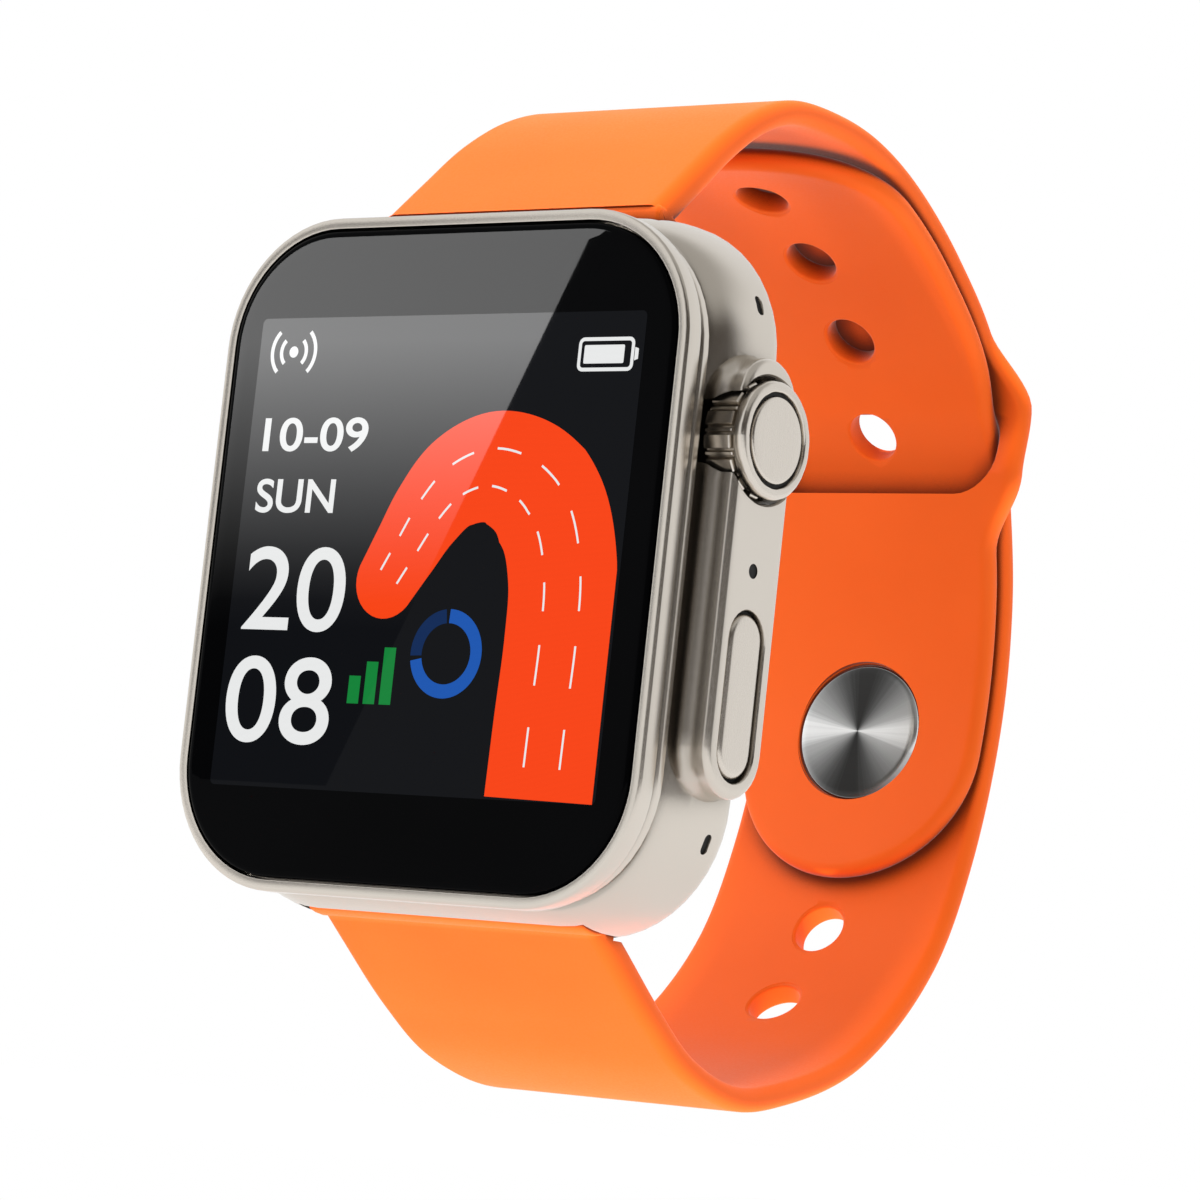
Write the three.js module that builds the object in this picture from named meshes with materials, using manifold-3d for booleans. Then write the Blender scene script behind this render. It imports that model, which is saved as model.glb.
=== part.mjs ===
// A square-faced running watch with a pin-and-tuck elastomer band, closed as if worn.
// Units are millimetres. +X is the crown side, +Y points to the wrist (the display
// looks along -Y) and +Z is 12 o'clock. The origin is the centre of the case back.

import * as THREE from 'three';
import { mergeVertices } from 'three/addons/utils/BufferGeometryUtils.js';
import Module from 'manifold-3d';

const wasm = await Module();
wasm.setup();

// ---------------------------------------------------------------- driving dimensions

const CASE = { width: 40.2, height: 49.0, corner: 9.6, front: -13.2, back: -2.2 };
const BODY = { front: -9.4, frontRound: 3.6, backRound: 1.1 };
const NECK = { width: 37.6, height: 45.2, corner: 8.6 };
const FLANGE = { width: 39.4, height: 46.2, corner: 9.0, front: -11.1, back: -10.0, round: 0.35 };
const CAVITY = { width: 34.5, height: 40.8, corner: 6.0 };
const BEZEL = { width: 39.8, height: 47.0, corner: 9.1, front: -13.0, back: -11.35, ledge: -11.8 };
const GLASS = { width: 37.9, height: 45.1, corner: 8.1, back: -12.2, round: 0.25 };
const DISPLAY = { width: 34.0, height: 40.4, corner: 5.6, front: -11.7, back: -10.3 };

const GUARD = { face: 21.85, root: 17.6, centreY: -5.5, width: 6.4, top: 14.6, bottom: -14.9 };
const CROWN = {
  y: -5.42, z: 9.1, radius: 4.0, inner: 19.2, face: 22.6, recess: 4.25, floor: 18.7, teeth: 15,
};
const BUTTON = { y: -5.47, z: -8.06, length: 11.5, width: 4.2, gap: 0.25, floor: 19.7 };
const MIC_HOLE = { y: -5.6, z: 0.3, radius: 0.48 };
const CORNER_SLOT = { y: -4.5, length: 1.4, width: 0.7, depth: 1.2 };

const NOTCH = { halfWidth: 12.35, front: -7.35, back: -3.0, floor: 21.0 };
const SPRING_BAR = { y: -5.1, z: 22.85, radius: 0.75, half: 11.2, tip: 0.4, reach: 1.9 };

const TRAY = { width: 33.6, height: 39.9, corner: 5.6, front: -9.85, back: -9.35 };
const BATTERY = { width: 22, height: 26, front: -9.1, back: -5.75, x: -4.4, z: 0.8 };
const BOARD = {
  half: 16.4, top: 16.1, step: 11.2, stepTop: 14.0, stepBottom: -13.0, front: -5.3, back: -4.5,
};
const FLEX = { front: -10.2, back: -5.45, start: 14.6, fold: 18.6, thick: 0.2, half: 4 };

const REAR = { width: 37.4, height: 45.8, corner: 8.4, front: -1.95, back: -0.95, bossBack: -0.35 };
const WINDOW = { radius: 12.5, front: -1.25, ledge: 10.4, boss: 15.2 };
const SCREW = { x: 15.0, z: 18.2, boss: 1.7, head: 1.15, shank: 0.5 };
const CONTACT = { x: 3.8, z: -18.0, radius: 1.1 };

const STRAP = { thick: 1.75, lugThick: 2.2, layerGap: 0.2, lugHalf: 12.0 };
const TAPER = { start: 6, end: 42 };
const TAIL = { half: 10.5, reach: 25.0 };
const PANEL = { half: 10.5, slotHalf: 10.85, webHalf: 13.0, beyondPin: 10.9 };
const PIN = { along: 83.3, disc: 5.2, neck: 1.45, head: 2.5 };
const SLOT = { start: 55.4, end: 64.4, ramp: 1.3 };
const HOLES = { count: 10, pinHole: 6, pitch: 8.15, radius: 2.0, sides: 16 };

const CLEAR = 0.3;

// Centreline of the outer layer of the closed band, seen from the side as [y, z],
// from the 12 o'clock notch, round the wrist, to the 6 o'clock notch.
const LOOP = [
  [-6.2, 24.3], [-2.8, 27.5], [1.1, 31.1], [5.05, 33.8], [9.1, 35.4], [14.5, 35.9],
  [20.4, 35.5], [26.5, 33.65], [33.2, 29.7], [39.8, 23.5], [43.1, 13.35], [44.8, 6.0],
  [45.0, -3.1], [42.75, -14.15], [38.8, -22.6], [30.5, -30.1], [20.05, -33.5], [14.1, -34.0],
  [7.65, -32.3], [2.95, -29.4], [-2.1, -25.5], [-5.0, -23.2],
];

// ---------------------------------------------------------------- materials

const material = (color, roughness, metalness) => (
  new THREE.MeshStandardMaterial({ color, roughness, metalness })
);

const satinMetal = () => material(0xd7cfc6, 0.32, 1.0);
const darkMetal = () => material(0x8d8a86, 0.35, 1.0);
const steel = () => material(0xb9bcc0, 0.25, 1.0);
const blackGlass = () => material(0x060608, 0.05, 0.0);
const silicone = () => material(0xfc6220, 0.55, 0.0);
const blackRubber = () => material(0x151515, 0.8, 0.0);
const blackPlastic = () => material(0x1c1c1e, 0.5, 0.0);
const circuitBoard = () => material(0x1d4a2c, 0.5, 0.0);
const gold = () => material(0xd9a441, 0.3, 1.0);
const foil = () => material(0xa9adb2, 0.4, 0.8);
const flexFilm = () => material(0xa8641e, 0.45, 0.0);

// ---------------------------------------------------------------- solids and booleans

function toSolid(geometry) {
  const plain = geometry.clone();
  plain.deleteAttribute('normal');
  plain.deleteAttribute('uv');
  const merged = mergeVertices(plain, 1e-5);
  return new wasm.Manifold(new wasm.Mesh({
    numProp: 3,
    vertProperties: new Float32Array(merged.attributes.position.array),
    triVerts: new Uint32Array(merged.index.array),
  }));
}

function toGeometry(solid) {
  const mesh = solid.getMesh();
  const geometry = new THREE.BufferGeometry();
  geometry.setAttribute('position', new THREE.BufferAttribute(mesh.vertProperties, 3));
  geometry.setIndex(new THREE.BufferAttribute(mesh.triVerts, 1));
  geometry.computeVertexNormals();
  return geometry;
}

function join(...geometries) {
  const solids = geometries.map(toSolid);
  return toGeometry(solids.reduce((whole, next) => whole.add(next)));
}

function cut(geometry, ...cutters) {
  const solid = cutters.map(toSolid).reduce((rest, next) => rest.subtract(next), toSolid(geometry));
  return toGeometry(solid);
}

// ---------------------------------------------------------------- shape helpers

function roundedRect(width, height, radius) {
  const x = width / 2 - radius;
  const z = height / 2 - radius;
  const shape = new THREE.Shape();
  shape.absarc(x, z, radius, 0, Math.PI / 2);
  shape.absarc(-x, z, radius, Math.PI / 2, Math.PI);
  shape.absarc(-x, -z, radius, Math.PI, Math.PI * 1.5);
  shape.absarc(x, -z, radius, Math.PI * 1.5, Math.PI * 2);
  shape.closePath();
  return shape;
}

function stadium(length, width) {
  return roundedRect(width, length, width / 2 - 0.001);
}

// A plate whose outline lies in the XZ plane, from the y of its front to its back.
// round softens its two outer edges inside the stated size.
function plate(outline, front, back, round = 0, segments = 5) {
  const geometry = new THREE.ExtrudeGeometry(outline, {
    depth: back - front - 2 * round,
    bevelEnabled: round > 0,
    bevelThickness: round,
    bevelSize: round,
    bevelOffset: -round,
    bevelSegments: 2,
    curveSegments: segments,
  });
  return geometry.rotateX(Math.PI / 2).translate(0, back - round, 0);
}

// A bar whose outline lies in the YZ plane (shape x is y, shape y is z), across x.
function crossBar(outline, left, right, segments = 5) {
  const geometry = new THREE.ExtrudeGeometry(outline, {
    depth: right - left,
    bevelEnabled: false,
    curveSegments: segments,
  });
  const turn = new THREE.Matrix4().makeBasis(
    new THREE.Vector3(0, 1, 0),
    new THREE.Vector3(0, 0, 1),
    new THREE.Vector3(1, 0, 0),
  );
  return geometry.applyMatrix4(turn).translate(left, 0, 0);
}

function rod(radius, left, right, y, z, sides = 20) {
  return new THREE.CylinderGeometry(radius, radius, right - left, sides)
    .rotateZ(-Math.PI / 2)
    .translate((left + right) / 2, y, z);
}

function disc(radius, front, back, x, z, sides = 24) {
  return new THREE.CylinderGeometry(radius, radius, back - front, sides)
    .translate(x, (front + back) / 2, z);
}

function block(x0, x1, y0, y1, z0, z1) {
  return new THREE.BoxGeometry(x1 - x0, y1 - y0, z1 - z0)
    .translate((x0 + x1) / 2, (y0 + y1) / 2, (z0 + z1) / 2);
}

function ring(outer, inner, front, back, sides = 28) {
  const profile = [[inner, front], [outer, front], [outer, back], [inner, back], [inner, front]];
  return new THREE.LatheGeometry(profile.map(([r, y]) => new THREE.Vector2(r, y)), sides);
}

function named(name, geometry, look) {
  const mesh = new THREE.Mesh(geometry, look);
  mesh.name = name;
  return mesh;
}

// ---------------------------------------------------------------- front: glass and display

function frontAssembly() {
  const front = new THREE.Group();
  const glassShape = roundedRect(GLASS.width, GLASS.height, GLASS.corner);
  const glass = plate(glassShape, CASE.front, GLASS.back, GLASS.round, 6);
  front.add(named('cover_glass', glass, blackGlass()));

  const rim = 1.0;
  const gasket = cut(
    plate(glassShape, GLASS.back + 0.05, BEZEL.ledge - 0.05),
    plate(roundedRect(GLASS.width - 2 * rim, GLASS.height - 2 * rim, GLASS.corner - rim), -13, -11),
  );
  front.add(named('glass_gasket', gasket, blackRubber()));

  const panel = plate(
    roundedRect(DISPLAY.width, DISPLAY.height, DISPLAY.corner), DISPLAY.front, DISPLAY.back,
  );
  front.add(named('display_module', panel, blackPlastic()));

  const seat = 0.15;
  const bezel = cut(
    plate(roundedRect(BEZEL.width, BEZEL.height, BEZEL.corner), BEZEL.front, BEZEL.back, 0.3, 6),
    plate(
      roundedRect(GLASS.width + 2 * seat, GLASS.height + 2 * seat, GLASS.corner + seat),
      BEZEL.front - 1, BEZEL.ledge, 0, 6,
    ),
    plate(roundedRect(DISPLAY.width + 1.0, DISPLAY.height + 1.0, DISPLAY.corner + 0.5), -14, -10),
  );
  front.add(named('bezel_ring', bezel, satinMetal()));
  return front;
}

// ---------------------------------------------------------------- mid case

// The pillow-sided body: a slab whose front edge rounds over further than its back edge.
function bodySlab() {
  const middle = CASE.back - BODY.backRound;
  const outline = roundedRect(CASE.width, CASE.height, CASE.corner);
  const softFront = new THREE.ExtrudeGeometry(outline, {
    depth: 0.4,
    bevelThickness: middle - BODY.front - 0.4,
    bevelSize: BODY.frontRound / 2,
    bevelOffset: -BODY.frontRound / 2,
    bevelSegments: 4,
    curveSegments: 6,
  });
  softFront.rotateX(Math.PI / 2).translate(0, middle, 0);
  const trim = block(-30, 30, BODY.front - 1, middle, -30, 30);
  const front = toGeometry(toSolid(softFront).intersect(toSolid(trim)));
  const softBack = plate(outline, middle - BODY.backRound - 0.5, CASE.back, BODY.backRound, 6);
  return join(front, softBack);
}

function guardSolid() {
  const radius = GUARD.width / 2;
  const outline = new THREE.Shape();
  outline.absarc(GUARD.centreY, GUARD.top - radius, radius, 0, Math.PI);
  outline.absarc(GUARD.centreY, GUARD.bottom + radius, radius, Math.PI, Math.PI * 2);
  outline.closePath();
  return crossBar(outline, GUARD.root, GUARD.face, 7);
}

function cornerSlots() {
  const x = CASE.width / 2 - CASE.corner;
  const z = CASE.height / 2 - CASE.corner;
  const turns = [[1, 1, 22], [1, -1, 18], [-1, 1, 64], [-1, -1, 64]];
  return turns.map(([sideX, sideZ, degrees]) => {
    const angle = THREE.MathUtils.degToRad(degrees);
    const slot = new THREE.BoxGeometry(CORNER_SLOT.depth * 2, CORNER_SLOT.width, CORNER_SLOT.length);
    slot.rotateY(-angle * sideX * sideZ);
    return slot.translate(
      sideX * (x + CASE.corner * Math.cos(angle)),
      CORNER_SLOT.y,
      sideZ * (z + CASE.corner * Math.sin(angle)),
    );
  });
}

// Each notch takes a strap's foot, and has a blind hole each side for the bar's tips.
function strapNotches() {
  const hole = SPRING_BAR.half + SPRING_BAR.reach + CLEAR;
  return [1, -1].flatMap((side) => {
    const z0 = side > 0 ? NOTCH.floor : -30;
    const z1 = side > 0 ? 30 : -NOTCH.floor;
    return [
      block(-NOTCH.halfWidth, NOTCH.halfWidth, NOTCH.front, NOTCH.back, z0, z1),
      rod(SPRING_BAR.tip + 0.2, -hole, hole, SPRING_BAR.y, side * SPRING_BAR.z, 16),
    ];
  });
}

function buttonPocket() {
  const pocket = stadium(BUTTON.length, BUTTON.width);
  return crossBar(pocket, BUTTON.floor, GUARD.face + 1, 7).translate(0, BUTTON.y, BUTTON.z);
}

function midCase() {
  const neck = plate(roundedRect(NECK.width, NECK.height, NECK.corner), FLANGE.back - 0.5, -5, 0, 6);
  const flangeShape = roundedRect(FLANGE.width, FLANGE.height, FLANGE.corner);
  const flange = plate(flangeShape, FLANGE.front, FLANGE.back, FLANGE.round, 6);
  const shell = join(bodySlab(), neck, flange, guardSolid());
  const bosses = [1, -1].flatMap((sx) => [1, -1].map((sz) => (
    disc(SCREW.boss, -7.2, CASE.back, sx * SCREW.x, sz * SCREW.z, 12)
  )));
  const cavity = plate(roundedRect(CAVITY.width, CAVITY.height, CAVITY.corner), -12, 0);
  const hollow = join(cut(shell, cavity), ...bosses);
  const screwHoles = [1, -1].flatMap((sx) => [1, -1].map((sz) => (
    disc(SCREW.shank + 0.25, -6.2, 0, sx * SCREW.x, sz * SCREW.z, 8)
  )));
  const solid = cut(
    hollow,
    ...screwHoles,
    ...cornerSlots(),
    ...strapNotches(),
    buttonPocket(),
    rod(1.45, 16, 20, BUTTON.y, BUTTON.z),
    rod(CROWN.recess, CROWN.floor, 30, CROWN.y, CROWN.z, 32),
    rod(1.75, 16, 20, CROWN.y, CROWN.z),
    rod(MIC_HOLE.radius, 16, 30, MIC_HOLE.y, MIC_HOLE.z, 14),
  );
  return named('mid_case', solid, satinMetal());
}

// ---------------------------------------------------------------- inside the case

function outlineThrough(points) {
  const outline = new THREE.Shape();
  outline.setFromPoints(points.map(([x, y]) => new THREE.Vector2(x, y)));
  return outline;
}

// The board steps in on the crown side to leave room for the crown and the button.
function boardOutline() {
  const { half, top, step, stepTop, stepBottom } = BOARD;
  return outlineThrough([[-half, -top], [half, -top], [half, stepBottom], [step, stepBottom],
    [step, stepTop], [half, stepTop], [half, top], [-half, top]]);
}

// A film that leaves the back of the display, turns down past the tray and ends on the board.
function displayFlex() {
  const { front, back, start, fold, thick, half } = FLEX;
  const points = [[front, start], [front, fold], [back, fold], [back, start + 0.3],
    [back - thick, start + 0.3], [back - thick, fold - thick], [front + thick, fold - thick],
    [front + thick, start]];
  return crossBar(outlineThrough(points.reverse()), -half, half);
}

function electronics() {
  const inside = new THREE.Group();
  const add = (name, geometry, look) => {
    const mesh = named(name, geometry, look);
    inside.add(mesh);
    return mesh;
  };
  const tray = cut(
    plate(roundedRect(TRAY.width, TRAY.height, TRAY.corner), TRAY.front, TRAY.back),
    block(-5, 5, -11, -8, 14.2, 25),
    block(-11, 11, -11, -8, -10, 8),
  );
  add('inner_frame', tray, blackPlastic());
  const cell = plate(roundedRect(BATTERY.width, BATTERY.height, 1.2), BATTERY.front, BATTERY.back);
  add('battery', cell, foil()).position.set(BATTERY.x, 0, BATTERY.z);
  add('main_board', plate(boardOutline(), BOARD.front, BOARD.back), circuitBoard());
  const onBoard = BOARD.back + 0.1;
  add('processor_chip', block(-8, 0, onBoard, onBoard + 0.9, 2, 10), blackPlastic());
  add('gps_module', block(1.5, 7.5, onBoard, onBoard + 1.1, 9, 14.4), foil());
  add('gps_antenna', block(-15.8, -9.4, onBoard, onBoard + 1.0, 9.2, 15.6), gold());
  add('vibration_motor', disc(3.6, BATTERY.front, -6.5, 8.4, -16.0), steel());
  const voice = plate(roundedRect(10, 6.4, 1.2), BATTERY.front, -6.6);
  add('speaker', voice, blackPlastic()).position.set(-7.6, 0, -16.6);
  const behindHole = MIC_HOLE.y - 1.3;
  add('microphone', block(15.9, 16.95, behindHole, behindHole + 1.4, -1.0, 1.6), steel());
  add('display_flex', displayFlex(), flexFilm());
  add('side_flex', block(11.4, 11.6, -7.2, -3.6, -12.0, 12.4), flexFilm());
  return inside;
}

// ---------------------------------------------------------------- rear cover and sensor

function rearAssembly() {
  const rear = new THREE.Group();
  const shape = roundedRect(REAR.width, REAR.height, REAR.corner);
  const screwCuts = [1, -1].flatMap((sx) => [1, -1].flatMap((sz) => [
    disc(SCREW.head + 0.25, -1.6, 1, sx * SCREW.x, sz * SCREW.z, 12),
    disc(SCREW.shank + 0.25, -3, 1, sx * SCREW.x, sz * SCREW.z, 8),
  ]));
  const contactCuts = [1, -1].map((sx) => (
    disc(CONTACT.radius + 0.25, -3, 1, sx * CONTACT.x, CONTACT.z, 14)
  ));
  const cover = cut(
    join(plate(shape, REAR.front, REAR.back, 0.35, 6), disc(WINDOW.boss, -1.3, REAR.bossBack, 0, 0, 36)),
    disc(WINDOW.radius + 0.2, WINDOW.front - 0.15, 1, 0, 0, 36),
    disc(WINDOW.ledge, -3, 1, 0, 0, 28),
    ...screwCuts,
    ...contactCuts,
  );
  rear.add(named('rear_cover', cover, satinMetal()));

  const lens = [[0, WINDOW.front], [WINDOW.radius, WINDOW.front], [WINDOW.radius, -0.5],
    [WINDOW.radius - 0.35, -0.15], [WINDOW.radius - 1.1, 0], [0, 0]];
  const windowGeometry = new THREE.LatheGeometry(lens.map(([r, y]) => new THREE.Vector2(r, y)), 36);
  rear.add(named('sensor_window', windowGeometry, blackGlass()));
  rear.add(named('sensor_board', disc(9.4, -2.95, -2.35, 0, 0, 32), circuitBoard()));
  [1, -1].forEach((side) => {
    const where = side > 0 ? 'right' : 'left';
    const led = block(-1.1, 1.1, -2.25, -1.6, -1.1, 1.1).translate(side * 4.2, 0, 0);
    rear.add(named(`sensor_led_${where}`, led, material(0x2fbf4a, 0.3, 0)));
    const contact = disc(CONTACT.radius, -2.6, REAR.back + 0.1, side * CONTACT.x, CONTACT.z, 18);
    rear.add(named(`charging_contact_${where}`, contact, gold()));
  });
  rear.add(named('photodiode', block(-1.4, 1.4, -2.25, -1.6, -1.4, 1.4), blackPlastic()));

  const gasket = cut(
    plate(roundedRect(36.6, 43.4, 7.2), CASE.back + 0.03, REAR.front - 0.03),
    plate(roundedRect(35.2, 42.0, 6.5), -4, 0),
  );
  rear.add(named('rear_gasket', gasket, blackRubber()));

  const places = [[1, 1], [1, -1], [-1, -1], [-1, 1]];
  places.forEach(([sx, sz], index) => {
    const screw = join(
      disc(SCREW.head, -1.5, -1.0, 0, 0, 12),
      disc(SCREW.shank, -5.4, -1.4, 0, 0, 8),
    );
    const mesh = named(`case_screw_${index + 1}`, screw, darkMetal());
    mesh.position.set(sx * SCREW.x, 0, sz * SCREW.z);
    rear.add(mesh);
  });
  return rear;
}

// ---------------------------------------------------------------- crown

// Lathe axis is local y, which the crown group turns onto +X. The crown has a shallow
// recess in its face for the inlay, and a ring of grooves that stops short of the face.
function crownKnob() {
  const length = CROWN.face - CROWN.inner;
  const r = CROWN.radius;
  const recess = length - 0.55;
  const bore = 1.15;
  const profile = [[bore, 0], [r - 0.3, 0], [r, 0.3], [r, length - 0.35], [r - 0.35, length],
    [3.2, length], [3.2, recess], [0, recess], [0, length - 1.0], [bore, length - 1.0], [bore, 0]];
  const body = new THREE.LatheGeometry(profile.map(([x, y]) => new THREE.Vector2(x, y)), 30);
  const grooveLength = length - 0.75;
  const grooves = Array.from({ length: CROWN.teeth }, (_, index) => (
    new THREE.BoxGeometry(0.55, grooveLength, 0.62)
      .translate(0, grooveLength / 2 - 0.1, r)
      .rotateY((index / CROWN.teeth) * Math.PI * 2)
  ));
  return cut(body, ...grooves);
}

function crownAssembly() {
  const crown = new THREE.Group();
  const length = CROWN.face - CROWN.inner;
  crown.add(named('crown', crownKnob(), satinMetal()));
  const inlay = ring(2.95, 0, length - 0.4, length - 0.05, 40);
  crown.add(named('crown_inlay', inlay, satinMetal()));
  const along = (front, back) => [front - CROWN.inner, back - CROWN.inner];
  crown.add(named('crown_shaft', ring(0.8, 0, ...along(13.4, 21.2), 20), steel()));
  crown.add(named('crown_tube', ring(1.55, 1.1, ...along(17.35, 18.7), 24), steel()));
  const seal = new THREE.TorusGeometry(1.3, 0.22, 8, 20).rotateX(Math.PI / 2);
  crown.add(named('crown_o_ring', seal.translate(0, 16.9 - CROWN.inner, 0), blackRubber()));
  crown.add(named('encoder_wheel', ring(2.0, 1.1, ...along(14.9, 15.7), 24), blackPlastic()));
  crown.add(named('crown_thrust_plate', ring(1.5, 0, ...along(12.95, 13.2), 20), steel()));
  crown.position.set(CROWN.inner, CROWN.y, CROWN.z);
  crown.rotation.z = -Math.PI / 2;
  return crown;
}

function crownSwitches() {
  const group = new THREE.Group();
  group.position.set(0, CROWN.y, CROWN.z);
  group.add(named('encoder_sensor', block(14.5, 16.1, 2.3, 3.1, -1.2, 1.2), blackPlastic()));
  group.add(named('crown_switch', block(11.7, 12.5, -1.6, 1.6, -1.6, 1.6), steel()));
  return group;
}

// ---------------------------------------------------------------- side button

function sideButton() {
  const group = new THREE.Group();
  group.position.set(0, BUTTON.y, BUTTON.z);
  const round = 0.2;
  const inset = 2 * (BUTTON.gap + round);
  const cap = new THREE.ExtrudeGeometry(stadium(BUTTON.length - inset, BUTTON.width - inset), {
    depth: 1.1,
    bevelThickness: round,
    bevelSize: round,
    bevelSegments: 1,
    curveSegments: 6,
  });
  const turn = new THREE.Matrix4().makeBasis(
    new THREE.Vector3(0, 1, 0),
    new THREE.Vector3(0, 0, 1),
    new THREE.Vector3(1, 0, 0),
  );
  cap.applyMatrix4(turn).translate(GUARD.face - 1.3, 0, 0);
  const plunger = rod(0.7, 16.6, 20.6, 0, 0, 16);
  group.add(named('side_button', join(cap, plunger), satinMetal()));
  const seal = ring(1.3, 0.9, 0, 1.2, 20).rotateZ(-Math.PI / 2).translate(17.6, 0, 0);
  group.add(named('button_seal', seal, blackRubber()));
  group.add(named('button_switch', block(11.7, 16.15, -1.7, 1.7, -2.2, 2.2), steel()));
  return group;
}

// ---------------------------------------------------------------- band

const outerLoop = new THREE.CatmullRomCurve3(LOOP.map(([y, z]) => new THREE.Vector3(0, y, z)));
outerLoop.arcLengthDivisions = 800;

const smooth = (from, to, value) => {
  const t = THREE.MathUtils.clamp((value - from) / (to - from), 0, 1);
  return t * t * (3 - 2 * t);
};

// The point of the loop at a distance along it, moved inwards by a depth.
function loopPoint(distance, depth) {
  const u = distance / outerLoop.getLength();
  const point = outerLoop.getPointAt(u);
  const tangent = outerLoop.getTangentAt(u);
  return point.add(new THREE.Vector3(0, tangent.z, -tangent.y).multiplyScalar(depth));
}

// A strap's own centreline between two distances on the loop, at a depth set by a rule.
function layerCurve(from, to, depthAt) {
  const steps = 90;
  const points = Array.from({ length: steps + 1 }, (_, i) => {
    const distance = from + ((to - from) * i) / steps;
    return loopPoint(distance, depthAt(distance));
  });
  const curve = new THREE.CatmullRomCurve3(points);
  curve.arcLengthDivisions = 600;
  return curve;
}

// A strip bent along its centreline, with softened long edges. Widths and thicknesses
// are rules of the distance from the strip's start.
function bentStrip(curve, halfWidthAt, thicknessAt, steps) {
  const across = [-1, -0.97, -0.89, 0.89, 0.97, 1];
  const edge = [0.42, 0.8, 1, 1, 0.8, 0.42];
  const length = curve.getLength();
  const columns = across.length - 1;
  const geometry = new THREE.BoxGeometry(columns, steps, 1, columns, steps, 1);
  const position = geometry.attributes.position;
  for (let i = 0; i < position.count; i += 1) {
    const column = Math.round(position.getX(i) + columns / 2);
    const u = (position.getY(i) + steps / 2) / steps;
    const distance = u * length;
    const point = curve.getPointAt(u);
    const tangent = curve.getTangentAt(u);
    const lift = position.getZ(i) * thicknessAt(distance) * edge[column];
    const x = across[column] * halfWidthAt(distance);
    position.setXYZ(i, x, point.y - tangent.z * lift, point.z + tangent.y * lift);
  }
  return geometry;
}

// A cutter standing square to the strap at a distance along its centreline.
function standOn(curve, distance, cutter) {
  const u = distance / curve.getLength();
  const tangent = curve.getTangentAt(u);
  const basis = new THREE.Matrix4().makeBasis(
    new THREE.Vector3(1, 0, 0),
    tangent,
    new THREE.Vector3(0, -tangent.z, tangent.y),
  );
  return cutter.applyMatrix4(basis.setPosition(curve.getPointAt(u)));
}

const taper = (end, distance) => (
  THREE.MathUtils.lerp(STRAP.lugHalf, end, smooth(TAPER.start, TAPER.end, distance))
);

const lugThickness = (distance) => (
  THREE.MathUtils.lerp(STRAP.lugThick, STRAP.thick, smooth(4, 20, distance))
);

// The part of a strap's plain half width that a full-width round end leaves.
function roundEnd(half, toEnd) {
  const rest = Math.min(Math.max(1 - toEnd / half, 0), 0.99);
  return Math.sqrt(1 - rest * rest);
}

function strapFoot(side) {
  const outline = roundedRect(3.5, 3.3, 0.5);
  const half = NOTCH.halfWidth - CLEAR - 0.1;
  return crossBar(outline, -half, half, 3).translate(0, SPRING_BAR.y, side * 23.1);
}

const barBore = (side) => (
  rod(SPRING_BAR.radius + 0.25, -14, 14, SPRING_BAR.y, side * SPRING_BAR.z, 16)
);

// The step in a strap that clears the case wall behind its notch.
function caseStep(side) {
  const top = CASE.height / 2 + CLEAR;
  return block(-14, 14, NOTCH.back - CLEAR, 2, side > 0 ? 0 : -top, side > 0 ? top : 0);
}

const innerDepth = STRAP.thick + STRAP.layerGap;
const rampStart = SLOT.start + SLOT.ramp;
const rampEnd = SLOT.end - SLOT.ramp;
const strapDepth = (distance) => innerDepth * smooth(rampStart, rampEnd, distance);
const tailDepth = (distance) => innerDepth * (1 - smooth(rampStart, rampEnd, distance));

const topCurve = layerCurve(0, PIN.along + PANEL.beyondPin, strapDepth);
const bottomCurve = layerCurve(outerLoop.getLength(), TAIL.reach, tailDepth);

// The distance along a strap's own centreline at which it passes nearest a point.
function distanceNear(curve, target) {
  const steps = 1200;
  let best = 0;
  let least = Infinity;
  for (let i = 0; i <= steps; i += 1) {
    const gap = curve.getPointAt(i / steps).distanceTo(target);
    if (gap < least) {
      least = gap;
      best = i / steps;
    }
  }
  return best * curve.getLength();
}

const pinOnTop = distanceNear(topCurve, loopPoint(PIN.along, innerDepth));
const pinOnBottom = distanceNear(bottomCurve, loopPoint(PIN.along, 0));

function topStrap() {
  const length = topCurve.getLength();
  const slotStart = distanceNear(topCurve, loopPoint(SLOT.start, 0));
  const slotEnd = distanceNear(topCurve, loopPoint(SLOT.end, innerDepth));
  const middle = (slotStart + slotEnd) / 2;
  const halfWidth = (distance) => {
    const bulge = 1 - smooth(2.5, 8.5, Math.abs(distance - middle));
    const plain = taper(PANEL.half, distance) + (PANEL.webHalf - PANEL.half) * bulge;
    return plain * roundEnd(PANEL.half, length - distance);
  };
  const strip = bentStrip(topCurve, halfWidth, lugThickness, 56);
  const slot = new THREE.ExtrudeGeometry(
    roundedRect(2 * PANEL.slotHalf, slotEnd - slotStart, 1.6),
    { depth: 16, bevelEnabled: false, curveSegments: 3 },
  ).translate(0, 0, -8);
  const neckRadius = PIN.neck + CLEAR;
  const neckHole = new THREE.CylinderGeometry(neckRadius, neckRadius, 8, HOLES.sides);
  const discRadius = PIN.disc + CLEAR;
  const recess = new THREE.CylinderGeometry(discRadius, discRadius, 4, 36).translate(0, -2.4, 0);
  return cut(
    join(strip, strapFoot(1)),
    barBore(1),
    caseStep(1),
    standOn(topCurve, middle, slot),
    standOn(topCurve, pinOnTop, neckHole.rotateX(Math.PI / 2)),
    standOn(topCurve, pinOnTop, recess.rotateX(Math.PI / 2)),
  );
}

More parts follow.
